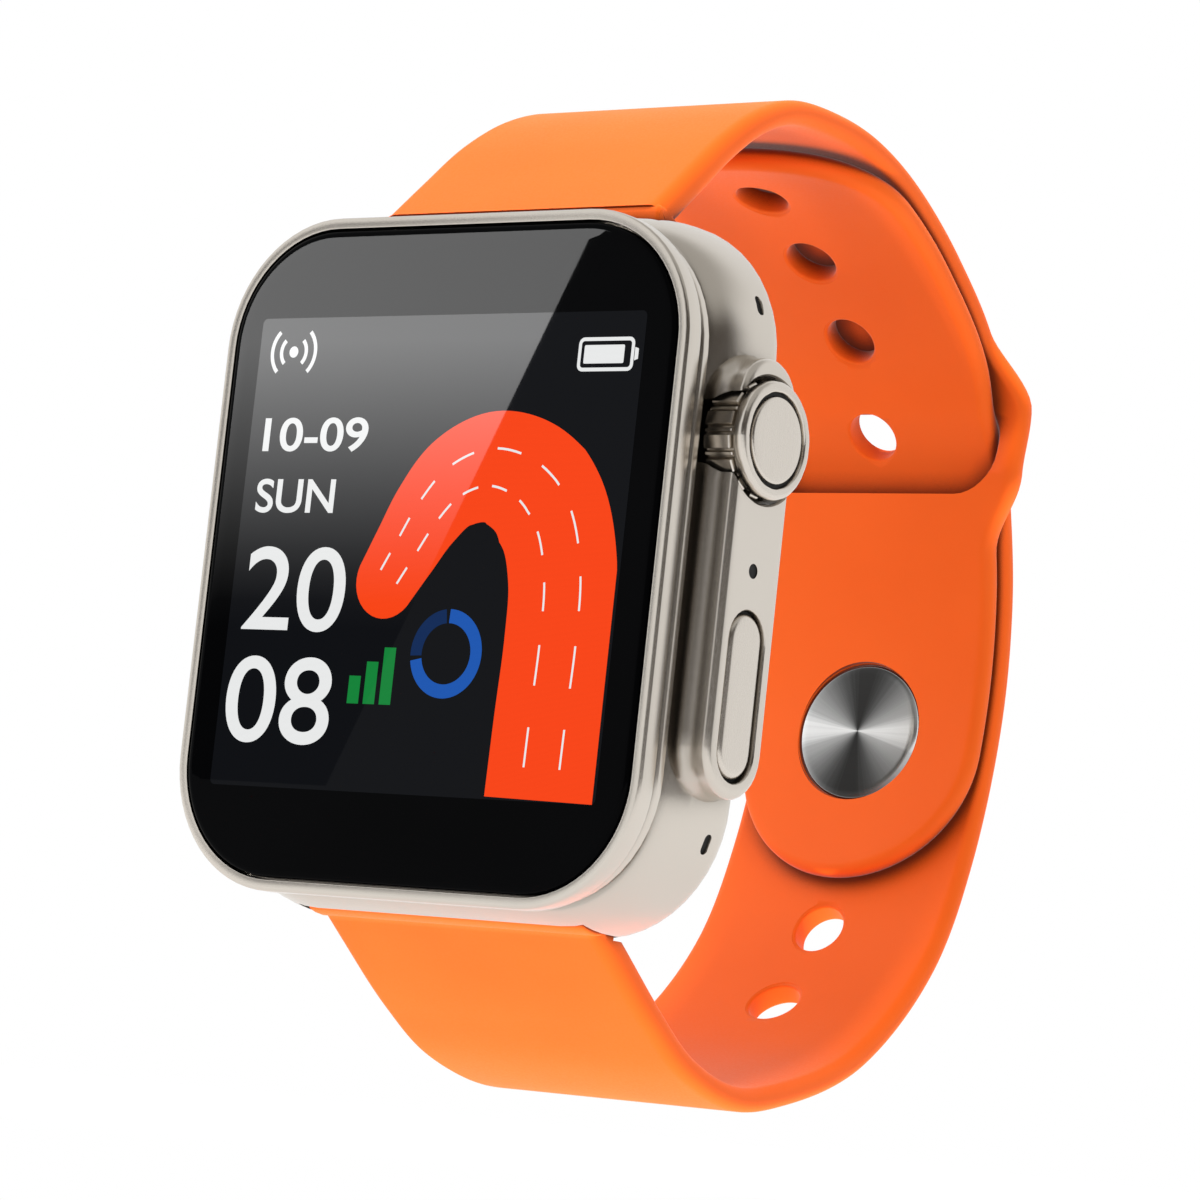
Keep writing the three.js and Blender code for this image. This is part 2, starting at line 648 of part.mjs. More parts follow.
function bottomStrap() {
  const length = bottomCurve.getLength();
  const halfWidth = (distance) => (
    taper(TAIL.half, distance) * roundEnd(TAIL.half, length - distance)
  );
  const strip = bentStrip(bottomCurve, halfWidth, lugThickness, 64);
  const last = HOLES.count - 1 - HOLES.pinHole;
  const holes = Array.from({ length: HOLES.count }, (_, index) => {
    const distance = pinOnBottom + (index - last) * HOLES.pitch;
    const hole = new THREE.CylinderGeometry(HOLES.radius, HOLES.radius, 6, HOLES.sides);
    return standOn(bottomCurve, distance, hole.rotateX(Math.PI / 2));
  });
  return cut(join(strip, strapFoot(-1)), barBore(-1), caseStep(-1), ...holes);
}

function springBar(side, place) {
  const bar = new THREE.Group();
  const tube = rod(SPRING_BAR.radius, -SPRING_BAR.half + 0.6, SPRING_BAR.half - 0.6, 0, 0, 16);
  const bores = [-1, 1].map((end) => (
    rod(SPRING_BAR.tip + 0.12, end > 0 ? 8.0 : -12, end > 0 ? 12 : -8.0, 0, 0, 12)
  ));
  bar.add(named(`${place}_spring_bar`, cut(tube, ...bores), steel()));
  [-1, 1].forEach((end) => {
    const outer = end * (SPRING_BAR.half + SPRING_BAR.reach);
    const inner = end * 9.6;
    const tip = rod(SPRING_BAR.tip, Math.min(inner, outer), Math.max(inner, outer), 0, 0, 12);
    bar.add(named(`${place}_bar_tip_${end > 0 ? 'right' : 'left'}`, tip, steel()));
  });
  bar.position.set(0, SPRING_BAR.y, side * SPRING_BAR.z);
  return bar;
}

// The closing pin, turned so that its local y points out of the band.
function closingPin() {
  const pin = new THREE.Group();
  const tangent = topCurve.getTangentAt(pinOnTop / topCurve.getLength());
  pin.position.copy(topCurve.getPointAt(pinOnTop / topCurve.getLength()));
  pin.rotation.x = Math.atan2(tangent.y, -tangent.z);
  const half = STRAP.thick / 2;
  const base = new THREE.LatheGeometry([[0, -half - 0.1], [PIN.disc - 0.25, -half - 0.1],
    [PIN.disc, -half + 0.1], [PIN.disc, -half + 0.3], [0, -half + 0.3]]
    .map(([r, y]) => new THREE.Vector2(r, y)), 40);
  pin.add(named('pin_base', base, steel()));
  const outside = half + innerDepth;
  const stud = new THREE.LatheGeometry([[0, -half + 0.6], [PIN.neck, -half + 0.6],
    [PIN.neck, outside + 0.3], [PIN.head, outside + 0.3], [PIN.head, outside + 0.7],
    [PIN.head - 0.5, outside + 1.1], [0, outside + 1.25]]
    .map(([r, y]) => new THREE.Vector2(r, y)), 28);
  pin.add(named('pin_stud', stud, steel()));
  return pin;
}

function band() {
  const group = new THREE.Group();
  group.add(named('top_strap', topStrap(), silicone()));
  group.add(named('bottom_strap', bottomStrap(), silicone()));
  group.add(springBar(1, 'top'));
  group.add(springBar(-1, 'bottom'));
  group.add(closingPin());
  return group;
}

const watch = new THREE.Group();
watch.add(frontAssembly());
watch.add(midCase());
watch.add(electronics());
watch.add(rearAssembly());
watch.add(crownAssembly());
watch.add(crownSwitches());
watch.add(sideButton());
watch.add(band());

export default watch;
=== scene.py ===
import math

import bmesh
import bpy
import numpy as np
from mathutils import Matrix, Vector

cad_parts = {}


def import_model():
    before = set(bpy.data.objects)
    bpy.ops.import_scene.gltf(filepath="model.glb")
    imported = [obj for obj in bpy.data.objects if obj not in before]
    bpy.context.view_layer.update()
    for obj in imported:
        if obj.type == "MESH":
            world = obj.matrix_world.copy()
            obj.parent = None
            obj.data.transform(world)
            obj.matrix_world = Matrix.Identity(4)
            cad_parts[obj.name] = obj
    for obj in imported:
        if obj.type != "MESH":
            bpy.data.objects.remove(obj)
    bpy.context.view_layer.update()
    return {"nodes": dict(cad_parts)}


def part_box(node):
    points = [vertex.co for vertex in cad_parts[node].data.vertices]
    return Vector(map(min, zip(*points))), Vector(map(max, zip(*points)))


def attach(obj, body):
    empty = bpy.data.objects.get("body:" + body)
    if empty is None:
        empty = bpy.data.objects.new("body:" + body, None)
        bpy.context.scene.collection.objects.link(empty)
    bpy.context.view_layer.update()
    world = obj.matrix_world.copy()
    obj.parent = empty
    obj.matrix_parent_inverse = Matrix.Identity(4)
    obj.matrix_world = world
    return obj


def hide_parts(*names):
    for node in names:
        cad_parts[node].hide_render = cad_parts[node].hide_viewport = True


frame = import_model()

scene = bpy.context.scene
scene.view_settings.view_transform = "Standard"

MM = 0.001

# Dimensions in millimetres, as in the CAD source.
CASE_WIDTH, CASE_HEIGHT, CASE_CORNER = 40.2, 49.0, 9.6
CASE_BACK, BACK_ROUND = -2.2, 1.1
BODY_MIDDLE, BODY_INSET, BODY_DEPTH = -3.7, 1.8, 5.7
GUARD_Y, GUARD_TOP, GUARD_BOTTOM, GUARD_HALF = -5.5, 14.6, -14.9, 3.2
CROWN, BUTTON, VOICE = (0, -5.42, 9.1), (0, -5.47, -8.06), (0, -5.6, 0.3)
BUTTON_LENGTH, BUTTON_WIDTH, BUTTON_GAP = 11.5, 4.2, 0.25
SCREW_X, SCREW_Z, CONTACT_X, CONTACT_Z = 15.0, 18.2, 3.8, -18.0
BAR_Y, BAR_Z = -5.1, 22.85
# The ports by the case's corners, as (side of x, side of z, degrees round the corner).
CORNER_PORTS = [(1, 1, 22), (1, -1, 18), (-1, 1, 64), (-1, -1, 64)]
THICK, LUG_THICK, LAYER = 1.75, 2.2, 1.95
LUG_HALF, TAIL_HALF, PANEL_HALF, SLOT_HALF, WEB_HALF = 12.0, 10.75, 10.5, 10.85, 13.0
PIN_ALONG, BEYOND_PIN, TAIL_REACH = 83.3, 12.1, 25.0
SLOT_START, SLOT_END, SLOT_RAMP = 55.4, 64.4, 1.3
HOLE_COUNT, PIN_HOLE, HOLE_PITCH, HOLE_RADIUS = 10, 6, 8.15, 2.0
# The outer layer of the closed band from the side, as (y, z), from 12 to 6 o'clock.
LOOP = [
    (-6.2, 24.3), (-2.8, 27.5), (1.1, 31.1), (5.05, 33.8), (9.1, 35.4), (14.5, 35.9),
    (20.4, 35.5), (26.5, 33.65), (33.2, 29.7), (39.8, 23.5), (43.1, 13.35), (44.8, 6.0),
    (45.0, -3.1), (42.75, -14.15), (38.8, -22.6), (30.5, -30.1), (20.05, -33.5), (14.1, -34.0),
    (7.65, -32.3), (2.95, -29.4), (-2.1, -25.5), (-5.0, -23.2),
]


# ---------------- materials


def node(owner, kind, **settings):
    """A new node in a material or a world."""
    made = owner.node_tree.nodes.new(kind)
    for name, value in settings.items():
        setattr(made, name, value)
    return made


def wire(owner, source, target):
    owner.node_tree.links.new(source, target)


def calculate(owner, operation, *values):
    """A Math node on sockets and numbers."""
    made = node(owner, "ShaderNodeMath", operation=operation)
    for socket, value in zip(made.inputs, values):
        if isinstance(value, float):
            socket.default_value = value
        else:
            wire(owner, value, socket)
    return made.outputs[0]


def eased(owner, source, low, high):
    """A smooth step from 0 to 1 as the source goes from low to high."""
    ranged = node(owner, "ShaderNodeMapRange", interpolation_type="SMOOTHSTEP")
    ranged.inputs["From Min"].default_value = low
    ranged.inputs["From Max"].default_value = high
    wire(owner, source, ranged.inputs["Value"])
    return ranged.outputs["Result"]


def mixed_colour(owner, factor, first, second):
    """A mix of two colours, each a socket or three numbers."""
    mix = node(owner, "ShaderNodeMix", data_type="RGBA")
    wire(owner, factor, mix.inputs["Factor"])
    for socket, value in ((mix.inputs["A"], first), (mix.inputs["B"], second)):
        if isinstance(value, tuple):
            socket.default_value = (*value, 1)
        else:
            wire(owner, value, socket)
    return mix.outputs["Result"]


def axes_of(material):
    """The object's own X, Y and Z."""
    axes = node(material, "ShaderNodeSeparateXYZ")
    wire(material, node(material, "ShaderNodeTexCoord").outputs["Object"], axes.inputs["Vector"])
    return axes.outputs


def principled(name, **values):
    """A material and its shader, with values set on the shader's own sockets."""
    material = bpy.data.materials.new(name)
    material.use_nodes = True
    shader = material.node_tree.nodes["Principled BSDF"]
    for key, value in values.items():
        socket = shader.inputs[key.replace("_", " ")]
        socket.default_value = (*value, 1) if isinstance(value, tuple) else value
    return material, shader


def noise(material, scale, detail=3.0, stretch=(1, 1, 1)):
    """Noise fixed to the object, drawn out along an axis where stretch is small."""
    where = node(material, "ShaderNodeTexCoord")
    mapping = node(material, "ShaderNodeMapping")
    mapping.inputs["Scale"].default_value = stretch
    texture = node(material, "ShaderNodeTexNoise")
    texture.inputs["Scale"].default_value = scale
    texture.inputs["Detail"].default_value = detail
    wire(material, where.outputs["Object"], mapping.inputs["Vector"])
    wire(material, mapping.outputs["Vector"], texture.inputs["Vector"])
    return texture.outputs["Fac"]


def spread(material, source, low, high, target):
    """Sends a noise to a target, spread between two values."""
    ranged = node(material, "ShaderNodeMapRange")
    ranged.inputs["From Min"].default_value = 0.3
    ranged.inputs["From Max"].default_value = 0.7
    ranged.inputs["To Min"].default_value = low
    ranged.inputs["To Max"].default_value = high
    wire(material, source, ranged.inputs["Value"])
    wire(material, ranged.outputs["Result"], target)


def tones(material, source, dark, light, target, low=0.3, high=0.7):
    """Sends a source to a target as a colour between dark and light."""
    ramp = node(material, "ShaderNodeValToRGB")
    ramp.color_ramp.elements[0].position = low
    ramp.color_ramp.elements[0].color = (*dark, 1)
    ramp.color_ramp.elements[1].position = high
    ramp.color_ramp.elements[1].color = (*light, 1)
    wire(material, source, ramp.inputs["Fac"])
    wire(material, ramp.outputs["Color"], target)
    return ramp


def bumped(material, shader, source, depth):
    """Relief of some depth in metres, from a source's height."""
    bump = node(material, "ShaderNodeBump")
    bump.inputs["Distance"].default_value = depth
    bump.inputs["Strength"].default_value = 1.0
    wire(material, source, bump.inputs["Height"])
    wire(material, bump.outputs["Normal"], shader.inputs["Normal"])


def grained(name, dark, light, rough, grain, depth, patch=60.0, stretch=(1, 1, 1), **values):
    """A surface with slow colour variation, fine grain in its roughness, and a fine bump."""
    material, shader = principled(name, **values)
    tones(material, noise(material, patch, 2.0, stretch), dark, light, shader.inputs["Base Color"])
    fine = noise(material, grain, 4.0, stretch)
    spread(material, fine, rough[0], rough[1], shader.inputs["Roughness"])
    bumped(material, shader, fine, depth)
    return material


def with_painted_shade(material, shade_colour, reach, low, high):
    """Paints shade into a material's colour: darker where little open air reaches it, in hollows,
    holes and seams.
    """
    shader = material.node_tree.nodes["Principled BSDF"]
    air = node(material, "ShaderNodeAmbientOcclusion", samples=8)
    air.inputs["Distance"].default_value = reach
    base = shader.inputs["Base Color"]
    free = eased(material, air.outputs["AO"], low, high)
    wire(material, mixed_colour(material, free, shade_colour, base.links[0].from_socket), base)
    return material


def satin_metal(name):
    return grained(name, (0.655, 0.605, 0.54), (0.70, 0.65, 0.585), (0.23, 0.27), 9000.0,
                   0.0000002, Metallic=1.0)


def black_glass(name, level):
    return grained(name, (0.0018, 0.0019, 0.0022), (0.0024, 0.0025, 0.003), (0.006, 0.012), 700.0,
                   0.00000001, Specular_IOR_Level=level)


def turned_steel():
    """Steel turned on a lathe: fine rings as relief, and a painted reflection of crossed bright
    and dark fans in its colour.
    """
    material, shader = principled("turned_steel", Metallic=1.0, Roughness=0.3)
    axes = axes_of(material)
    angle = calculate(material, "ARCTAN2", axes["Z"], axes["X"])
    painted_reflection_fan = calculate(material, "COSINE", calculate(material, "MULTIPLY", angle, 2.0))
    streak = node(material, "ShaderNodeTexNoise", noise_dimensions="1D")
    streak.inputs["Scale"].default_value = 14.0
    streak.inputs["Detail"].default_value = 6.0
    wire(material, angle, streak.inputs["W"])
    faint = calculate(material, "MULTIPLY_ADD", streak.outputs["Fac"], 0.08, 0.46)
    mixed = calculate(material, "MULTIPLY_ADD", painted_reflection_fan, 0.5, faint)
    # Painted reflection: the fans are set in the base colour, from near black to near white.
    ramp = tones(material, mixed, (0.045, 0.044, 0.043), (1.0, 1.0, 0.99),
                 shader.inputs["Base Color"], 0.02, 1.0)
    for place, grey in ((0.25, 0.12), (0.6, 0.30), (0.9, 0.52)):
        ramp.color_ramp.elements.new(place).color = (grey, grey, 0.99 * grey, 1)
    rings = node(material, "ShaderNodeTexWave", wave_type="RINGS", rings_direction="Y")
    rings.inputs["Scale"].default_value = 2600.0
    rings.inputs["Distortion"].default_value = 0.6
    where = node(material, "ShaderNodeTexCoord")
    wire(material, where.outputs["Object"], rings.inputs["Vector"])
    bumped(material, shader, rings.outputs["Fac"], 0.000003)
    return material


# Half the pitch of the display's pixels, in metres.
HALF_PIXEL = 0.00004


def lit(name, colour):
    """A lit part of the display, with its fine grid of pixels."""
    material, shader = principled(name, Roughness=0.01, Specular_IOR_Level=0.038,
                                  Emission_Strength=1.0, Base_Color=(0.002, 0.002, 0.002))
    axes = axes_of(material)
    waves = [calculate(material, "PINGPONG", axes[axis], HALF_PIXEL) for axis in ("X", "Z")]
    least = calculate(material, "MINIMUM", *waves)
    scaled = calculate(material, "MULTIPLY", least, 1 / HALF_PIXEL)
    dim = tuple(0.8 * c for c in colour)
    tones(material, scaled, dim, colour, shader.inputs["Emission Color"], 0.05, 0.3)
    return material


# Painted shade: the case metal's colour darkens in the cove, round the crown and button and in
# other crevices.
METAL = with_painted_shade(satin_metal("case_metal"), (0.24, 0.215, 0.185), 0.006, 0.2, 0.95)
CROWN_METAL = satin_metal("crown_metal")
BRUSHED = grained("brushed_metal", (0.665, 0.615, 0.55), (0.70, 0.65, 0.585), (0.24, 0.30),
                  6000.0, 0.0000003, stretch=(1, 1, 0.06), Metallic=1.0)
SILICONE = grained("orange_silicone", (0.96, 0.138, 0.0125), (1.0, 0.150, 0.0145), (0.46, 0.56),
                   5200.0, 0.000003, patch=90.0, IOR=1.42, Specular_IOR_Level=0.2)
# Painted shade: the silicone's colour goes dark brown inside the holes, at the slot and where the
# layers meet.
ORANGE = with_painted_shade(SILICONE, (0.21, 0.026, 0.002), 0.00235, 0.42, 0.94)
STEEL = grained("steel", (0.50, 0.50, 0.51), (0.60, 0.60, 0.61), (0.18, 0.28), 7000.0, 0.000001,
                Metallic=1.0)
GLASS = black_glass("cover_glass_black", 0.02)
LENS = black_glass("sensor_glass_black", 0.5)
TURNED = turned_steel()
PLASTIC = grained("black_plastic", (0.010, 0.010, 0.011), (0.016, 0.016, 0.017), (0.4, 0.55),
                  4000.0, 0.000003)
RUBBER = grained("black_rubber", (0.008, 0.008, 0.008), (0.014, 0.014, 0.014), (0.7, 0.85),
                 3000.0, 0.000004)
BOARD = grained("circuit_board", (0.010, 0.055, 0.022), (0.014, 0.075, 0.030), (0.35, 0.5),
                1500.0, 0.000004, patch=500.0)
FOIL = grained("foil", (0.35, 0.36, 0.38), (0.45, 0.46, 0.48), (0.25, 0.45), 800.0, 0.00001,
               Metallic=0.9)
GOLD = grained("gold_plate", (0.72, 0.44, 0.14), (0.80, 0.52, 0.18), (0.18, 0.28), 5000.0,
               0.000001, Metallic=1.0)
FILM = grained("flex_film", (0.36, 0.12, 0.015), (0.42, 0.15, 0.02), (0.3, 0.4), 900.0, 0.000002)
LED = grained("green_led", (0.02, 0.42, 0.07), (0.03, 0.5, 0.09), (0.2, 0.3), 3000.0, 0.000001)
DARK_METAL = grained("dark_metal", (0.24, 0.225, 0.21), (0.29, 0.275, 0.26), (0.25, 0.35), 6000.0,
                     0.000002, Metallic=1.0)


# ---------------- meshes


def add(name, data):
    made = bpy.data.objects.new(name, data)
    scene.collection.objects.link(made)
    return made


def shade(mesh, degrees=32.0):
    """Smooth shading that stops at sharper edges."""
    mesh.shade_smooth()
    mesh.set_sharp_from_angle(angle=math.radians(degrees))


def piece(name, vertices, faces, material=None, degrees=32.0):
    """An object from vertices in millimetres, its doubles merged and its faces outwards."""
    mesh = bpy.data.meshes.new(name)
    mesh.from_pydata([(x * MM, y * MM, z * MM) for x, y, z in vertices], [], faces)
    edit = bmesh.new()
    edit.from_mesh(mesh)
    bmesh.ops.remove_doubles(edit, verts=edit.verts, dist=1e-8)
    bmesh.ops.recalc_face_normals(edit, faces=edit.faces)
    edit.to_mesh(mesh)
    edit.free()
    if material:
        mesh.materials.append(material)
    made = add(name, mesh)
    shade(mesh, degrees)
    return made


def combine(target, operation, *tools):
    """Joins the tools to the target or cuts them from it, and removes them."""
    for tool in tools:
        modifier = target.modifiers.new("combine", "BOOLEAN")
        modifier.operation = operation
        modifier.solver = "MANIFOLD"
        modifier.object = tool
        bpy.context.view_layer.update()
        graph = bpy.context.evaluated_depsgraph_get()
        result = bpy.data.meshes.new_from_object(target.evaluated_get(graph))
        target.modifiers.clear()
        old = target.data
        target.data = result
        bpy.data.meshes.remove(old)
        bpy.data.objects.remove(tool)
    shade(target.data)
    return target


def cut(target, *tools):
    return combine(target, "DIFFERENCE", *tools)


def unite(target, *tools):
    return combine(target, "UNION", *tools)


def mount(made, body, *nodes):
    """Puts a piece on a body, in place of CAD nodes."""
    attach(made, body)
    if nodes:
        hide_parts(*nodes)
    return made


def loft(name, stations, material=None, ring=False, degrees=32.0):
    """A skin through closed loops of points. A ring joins the last loop to the first."""
    count = len(stations[0])
    rows = len(stations)
    faces = []
    for i in range(rows if ring else rows - 1):
        a, b = i * count, ((i + 1) % rows) * count
        for j in range(count):
            k = (j + 1) % count
            faces.append((a + j, a + k, b + k, b + j))
    if not ring:
        faces.append(tuple(range(count)))
        faces.append(tuple(range((rows - 1) * count, rows * count)))
    return piece(name, [p for station in stations for p in station], faces, material, degrees)


def rect_loop(width, height, corner, steps=12, side=20):
    """A rounded rectangle as (a, b) points, anticlockwise, a across and b up.

    A pair of corner radii gives the upper and the lower corners.
    """
    radii = corner if isinstance(corner, tuple) else (corner, corner)
    corners = [(1, 1, radii[0]), (-1, 1, radii[0]), (-1, -1, radii[1]), (1, -1, radii[1])]

    def on_corner(sx, sz, radius, turn):
        angle = math.radians(90 * turn)
        return (sx * (width / 2 - radius) + radius * math.cos(angle),
                sz * (height / 2 - radius) + radius * math.sin(angle))

    points = []
    for index, place in enumerate(corners):
        points += [on_corner(*place, index + step / steps) for step in range(steps + 1)]
        end = on_corner(*corners[(index + 1) % 4], index + 1)
        start = points[-1]
        for step in range(1, side):
            t = step / side
            points.append((start[0] + (end[0] - start[0]) * t, start[1] + (end[1] - start[1]) * t))
    return points


def plate_station(width, height, corner, y, **steps):
    return [(a, y, b) for a, b in rect_loop(width, height, corner, **steps)]


def inset_stations(width, height, corner, profile, **steps):
    """Rounded rectangles drawn in from one outline, from (inset, y) points."""
    return [plate_station(width - 2 * i, height - 2 * i, corner - i, y, **steps)
            for i, y in profile]


def stadium_loop(length, width, steps=14, side=12):
    """A stadium as (a, b) points, anticlockwise, its length along b."""
    radius, straight = width / 2, length - width
    points = []
    for sign in (1, -1):
        for step in range(steps + 1):
            angle = math.pi * step / steps
            points.append((sign * radius * math.cos(angle),
                           sign * (straight / 2 + radius * math.sin(angle))))
        points += [(-sign * radius, sign * straight * (0.5 - step / side))
                   for step in range(1, side)]
    return points


def side_stations(length, width, centre, profile, **steps):
    """Stadiums in the YZ plane grown from one outline, from (x, growth) points."""
    return [[(x, centre[1] + a, centre[2] + b)
             for a, b in stadium_loop(length + 2 * grow, width + 2 * grow, **steps)]
            for x, grow in profile]


def rounded(front, back, radius, steps=4):
    """(inset, y) stations of a plate with both edges rounded."""
    turn = [math.radians(90 * i / steps) for i in range(steps + 1)]
    first = [(radius * (1 - math.sin(a)), front + radius * (1 - math.cos(a))) for a in turn]
    last = [(radius * (1 - math.sin(a)), back - radius * (1 - math.cos(a)))
            for a in reversed(turn)]
    return first + last


def lathe(name, profile, axis, sides, material=None, centre=(0, 0, 0), degrees=32.0, ring=False):
    """Turns (radius, along) points about an axis, X or Y."""
    stations = []
    for radius, along in profile:
        loop = []
        for i in range(sides):
            angle = 2 * math.pi * i / sides
            a, b = max(radius, 0.002) * math.cos(angle), max(radius, 0.002) * math.sin(angle)
            point = (along, a, b) if axis == "X" else (a, along, b)
            loop.append(tuple(p + c for p, c in zip(point, centre)))
        stations.append(loop)
    return loft(name, stations, material, ring, degrees)


# ---------------- front of the watch


def cover_glass():
    profile = [(1.2, -13.19), (0.5, -13.19), (0.42, -13.188), (0.24, -13.17), (0.1, -13.1),
               (0.02, -12.98), (0.0, -12.8), (0.0, -12.2)]
    made = loft("glass_front", inset_stations(37.9, 45.1, 8.1, profile, steps=16), GLASS)
    return mount(made, "watch", "cover_glass")


def bezel_ring():
    outer = [(0.28, -13.0), (0.17, -12.985), (0.08, -12.94), (0.02, -12.87), (0.0, -12.77),
             (0.0, -11.62), (0.05, -11.45), (0.16, -11.37), (0.3, -11.35)]
    stations = inset_stations(39.8, 47.0, 9.1, outer, steps=16)
    inner = [(1.6, 2.0, 1.9, -11.35), (1.6, 2.0, 1.9, -11.8), (0.8, 0.8, 0.85, -11.8),
             (0.8, 0.8, 0.85, -12.9), (0.76, 0.76, 0.8, -12.98), (0.68, 0.68, 0.72, -13.0)]
    stations += [plate_station(39.8 - 2 * i, 47.0 - 2 * j, 9.1 - r, y, steps=16)
                 for i, j, r, y in inner]
    return mount(loft("bezel", stations, METAL, ring=True), "watch", "bezel_ring")


# ---------------- mid case


def body_shell():
    """The ring-shaped case wall: front flange, cove, pillow side, back edge and cavity."""
    stations = inset_stations(39.4, 46.2, 9.0, rounded(-11.1, -10.0, 0.35))
    cove = [(38.0, 45.5, 8.65, -10.0), (37.7, 45.25, 8.62, -9.94), (37.6, 45.2, 8.6, -9.8),
            (37.6, 45.3, 8.6, -9.35)]
    stations += [plate_station(*place) for place in cove]
    side = [(BODY_INSET * (1 - math.sin(math.radians(turn))),
             BODY_MIDDLE - BODY_DEPTH * math.cos(math.radians(turn)))
            for turn in (15, 19, 24, 30, 37, 45, 54, 64, 75, 90)]
    side += [(BACK_ROUND * (1 - math.cos(math.radians(turn))),
              CASE_BACK - BACK_ROUND * (1 - math.sin(math.radians(turn))))
             for turn in (0, 18, 36, 54, 72, 90)]
    stations += inset_stations(CASE_WIDTH, CASE_HEIGHT, CASE_CORNER, side)
    cavity = [(35.0, 42.0, 6.4, CASE_BACK), (34.5, 40.8, 6.0, -2.6), (34.5, 40.8, 6.0, -10.8),
              (35.0, 41.4, 6.3, -11.1)]
    stations += [plate_station(*place) for place in cavity]
    return loft("case_shell", stations, METAL, ring=True)


def guard_solid():
    """The raised guard round the crown and the button."""
    length = GUARD_TOP - GUARD_BOTTOM
    centre = (GUARD_TOP + GUARD_BOTTOM) / 2
    profile = [(17.6, 0.4), (19.3, 0.4), (19.7, 0.34), (20.05, 0.2), (20.4, 0.07), (20.8, 0.0),
               (21.4, 0.0), (21.56, -0.03), (21.7, -0.12), (21.8, -0.26), (21.85, -0.45),
               (21.85, -1.0)]
    return loft("guard", side_stations(length, 2 * GUARD_HALF, (0, GUARD_Y, centre), profile,
                                       side=24), METAL)


def corner_slot(side_x, side_z, degrees, profile):
    """A small stadium standing square to the case's corner, from (depth, grow) stations."""
    angle = math.radians(degrees)
    x = side_x * (CASE_WIDTH / 2 - CASE_CORNER + CASE_CORNER * math.cos(angle))
    z = side_z * (CASE_HEIGHT / 2 - CASE_CORNER + CASE_CORNER * math.sin(angle))
    out = Vector((side_x * math.cos(angle), 0, side_z * math.sin(angle)))
    along = Vector((-out.z, 0, out.x))
    stations = []
    for depth, grow in profile:
        loop = []
        for a, b in stadium_loop(1.4 + 2 * grow, 0.7 + 2 * grow, steps=10, side=3):
            point = Vector((x, -4.5, z)) + out * depth + along * b
            loop.append((point.x, point.y + a, point.z))
        stations.append(loop)
    return loft("slot", stations)


def notch(side):
    """The room for a strap's foot."""
    stations = []
    for x in (-12.35, 12.35):
        loop = [(x, -5.175 + a, side * 26.0 + b)
                for a, b in rect_loop(4.35, 10.0, 0.35, steps=4, side=2)]
        stations.append(loop)
    return loft("notch", stations)


def mid_case():
    shell = unite(body_shell(), guard_solid())
    recess = lathe("recess", [(4.25, 18.7), (4.25, 21.6), (4.3, 21.75), (4.42, 21.86), (4.6, 23)],
                   "X", 96, centre=CROWN)
    bore = lathe("bore", [(1.75, 15), (1.75, 19)], "X", 32, centre=CROWN)
    rim = [(19.7, 0), (21.74, 0), (21.8, 0.025), (21.9, 0.125), (23, 0.6)]
    pocket = loft("pocket", side_stations(BUTTON_LENGTH, BUTTON_WIDTH, BUTTON, rim))
    plunger = lathe("plunger", [(1.45, 15), (1.45, 20)], "X", 32, centre=BUTTON)
    voice = lathe("voice", [(0.5, 16), (0.5, 23)], "X", 40, centre=VOICE)
    slots = [corner_slot(*place, [(-1.3, 0.0), (-0.1, 0.0), (0.02, 0.05), (0.5, 0.3)])
             for place in CORNER_PORTS]
    cut(shell, notch(1), notch(-1), recess, bore, pocket, plunger, voice, *slots)
    return mount(shell, "watch", "mid_case")


def port_liners():
    """Dark gauze set a little way into each port of the case."""
    for index, place in enumerate(CORNER_PORTS):
        made = corner_slot(*place, [(-1.2, -0.01), (-0.22, -0.01)])
        made.name = f"port_gauze_{index + 1}"
        made.data.materials.append(RUBBER)
        mount(made, "watch")
    made = lathe("microphone_gauze", [(0, 20.6), (0.49, 20.6), (0.49, 21.76), (0, 21.76)], "X", 40,
                 RUBBER, VOICE)
    mount(made, "watch")


# ---------------- crown and button


def crown_knob():
    """A castellated crown: wide teeth with a thin rib between, a groove, and a plain flange."""
    gap, rib, tooth, teeth = 3.42, 3.78, 4.0, 15
    unit = [(0.0, gap), (0.015, 3.86), (0.05, tooth), (0.55, tooth), (0.585, 3.86), (0.60, gap),
            (0.70, gap), (0.715, 3.72), (0.74, rib), (0.85, rib), (0.875, 3.72), (0.89, gap)]
    outline = [(2 * math.pi * (index + phase) / teeth + 0.1, radius)
               for index in range(teeth) for phase, radius in unit]

    def turned(x, least, most):
        """The toothed outline, held between two radii."""
        held = [(angle, min(max(radius, least), most)) for angle, radius in outline]
        return [(x, CROWN[1] - r * math.cos(angle), CROWN[2] + r * math.sin(angle))
                for angle, r in held]

    toothed = [(19.2, 1.15), (19.2, 3.2), (19.24, 3.38), (19.32, 3.75), (19.42, 4.0),
               (21.36, 4.0), (21.46, 3.9), (21.5, 3.75), (21.52, 3.45), (21.54, 3.4), (21.68, 3.4)]
    plain = [(21.7, 3.42), (21.71, 3.8), (21.76, 3.92), (21.84, 3.97), (22.3, 3.97), (22.44, 3.93),
             (22.54, 3.83), (22.59, 3.7), (22.6, 3.56), (22.6, 3.32), (22.58, 3.26), (22.52, 3.22),
             (22.05, 3.2), (22.0, 1.15)]
    stations = [turned(x, 0, radius) for x, radius in toothed]
    stations += [turned(x, radius, radius) for x, radius in plain]
    made = loft("crown_body", stations, CROWN_METAL, ring=True, degrees=38)
    return mount(made, "crown_knob", "crown")


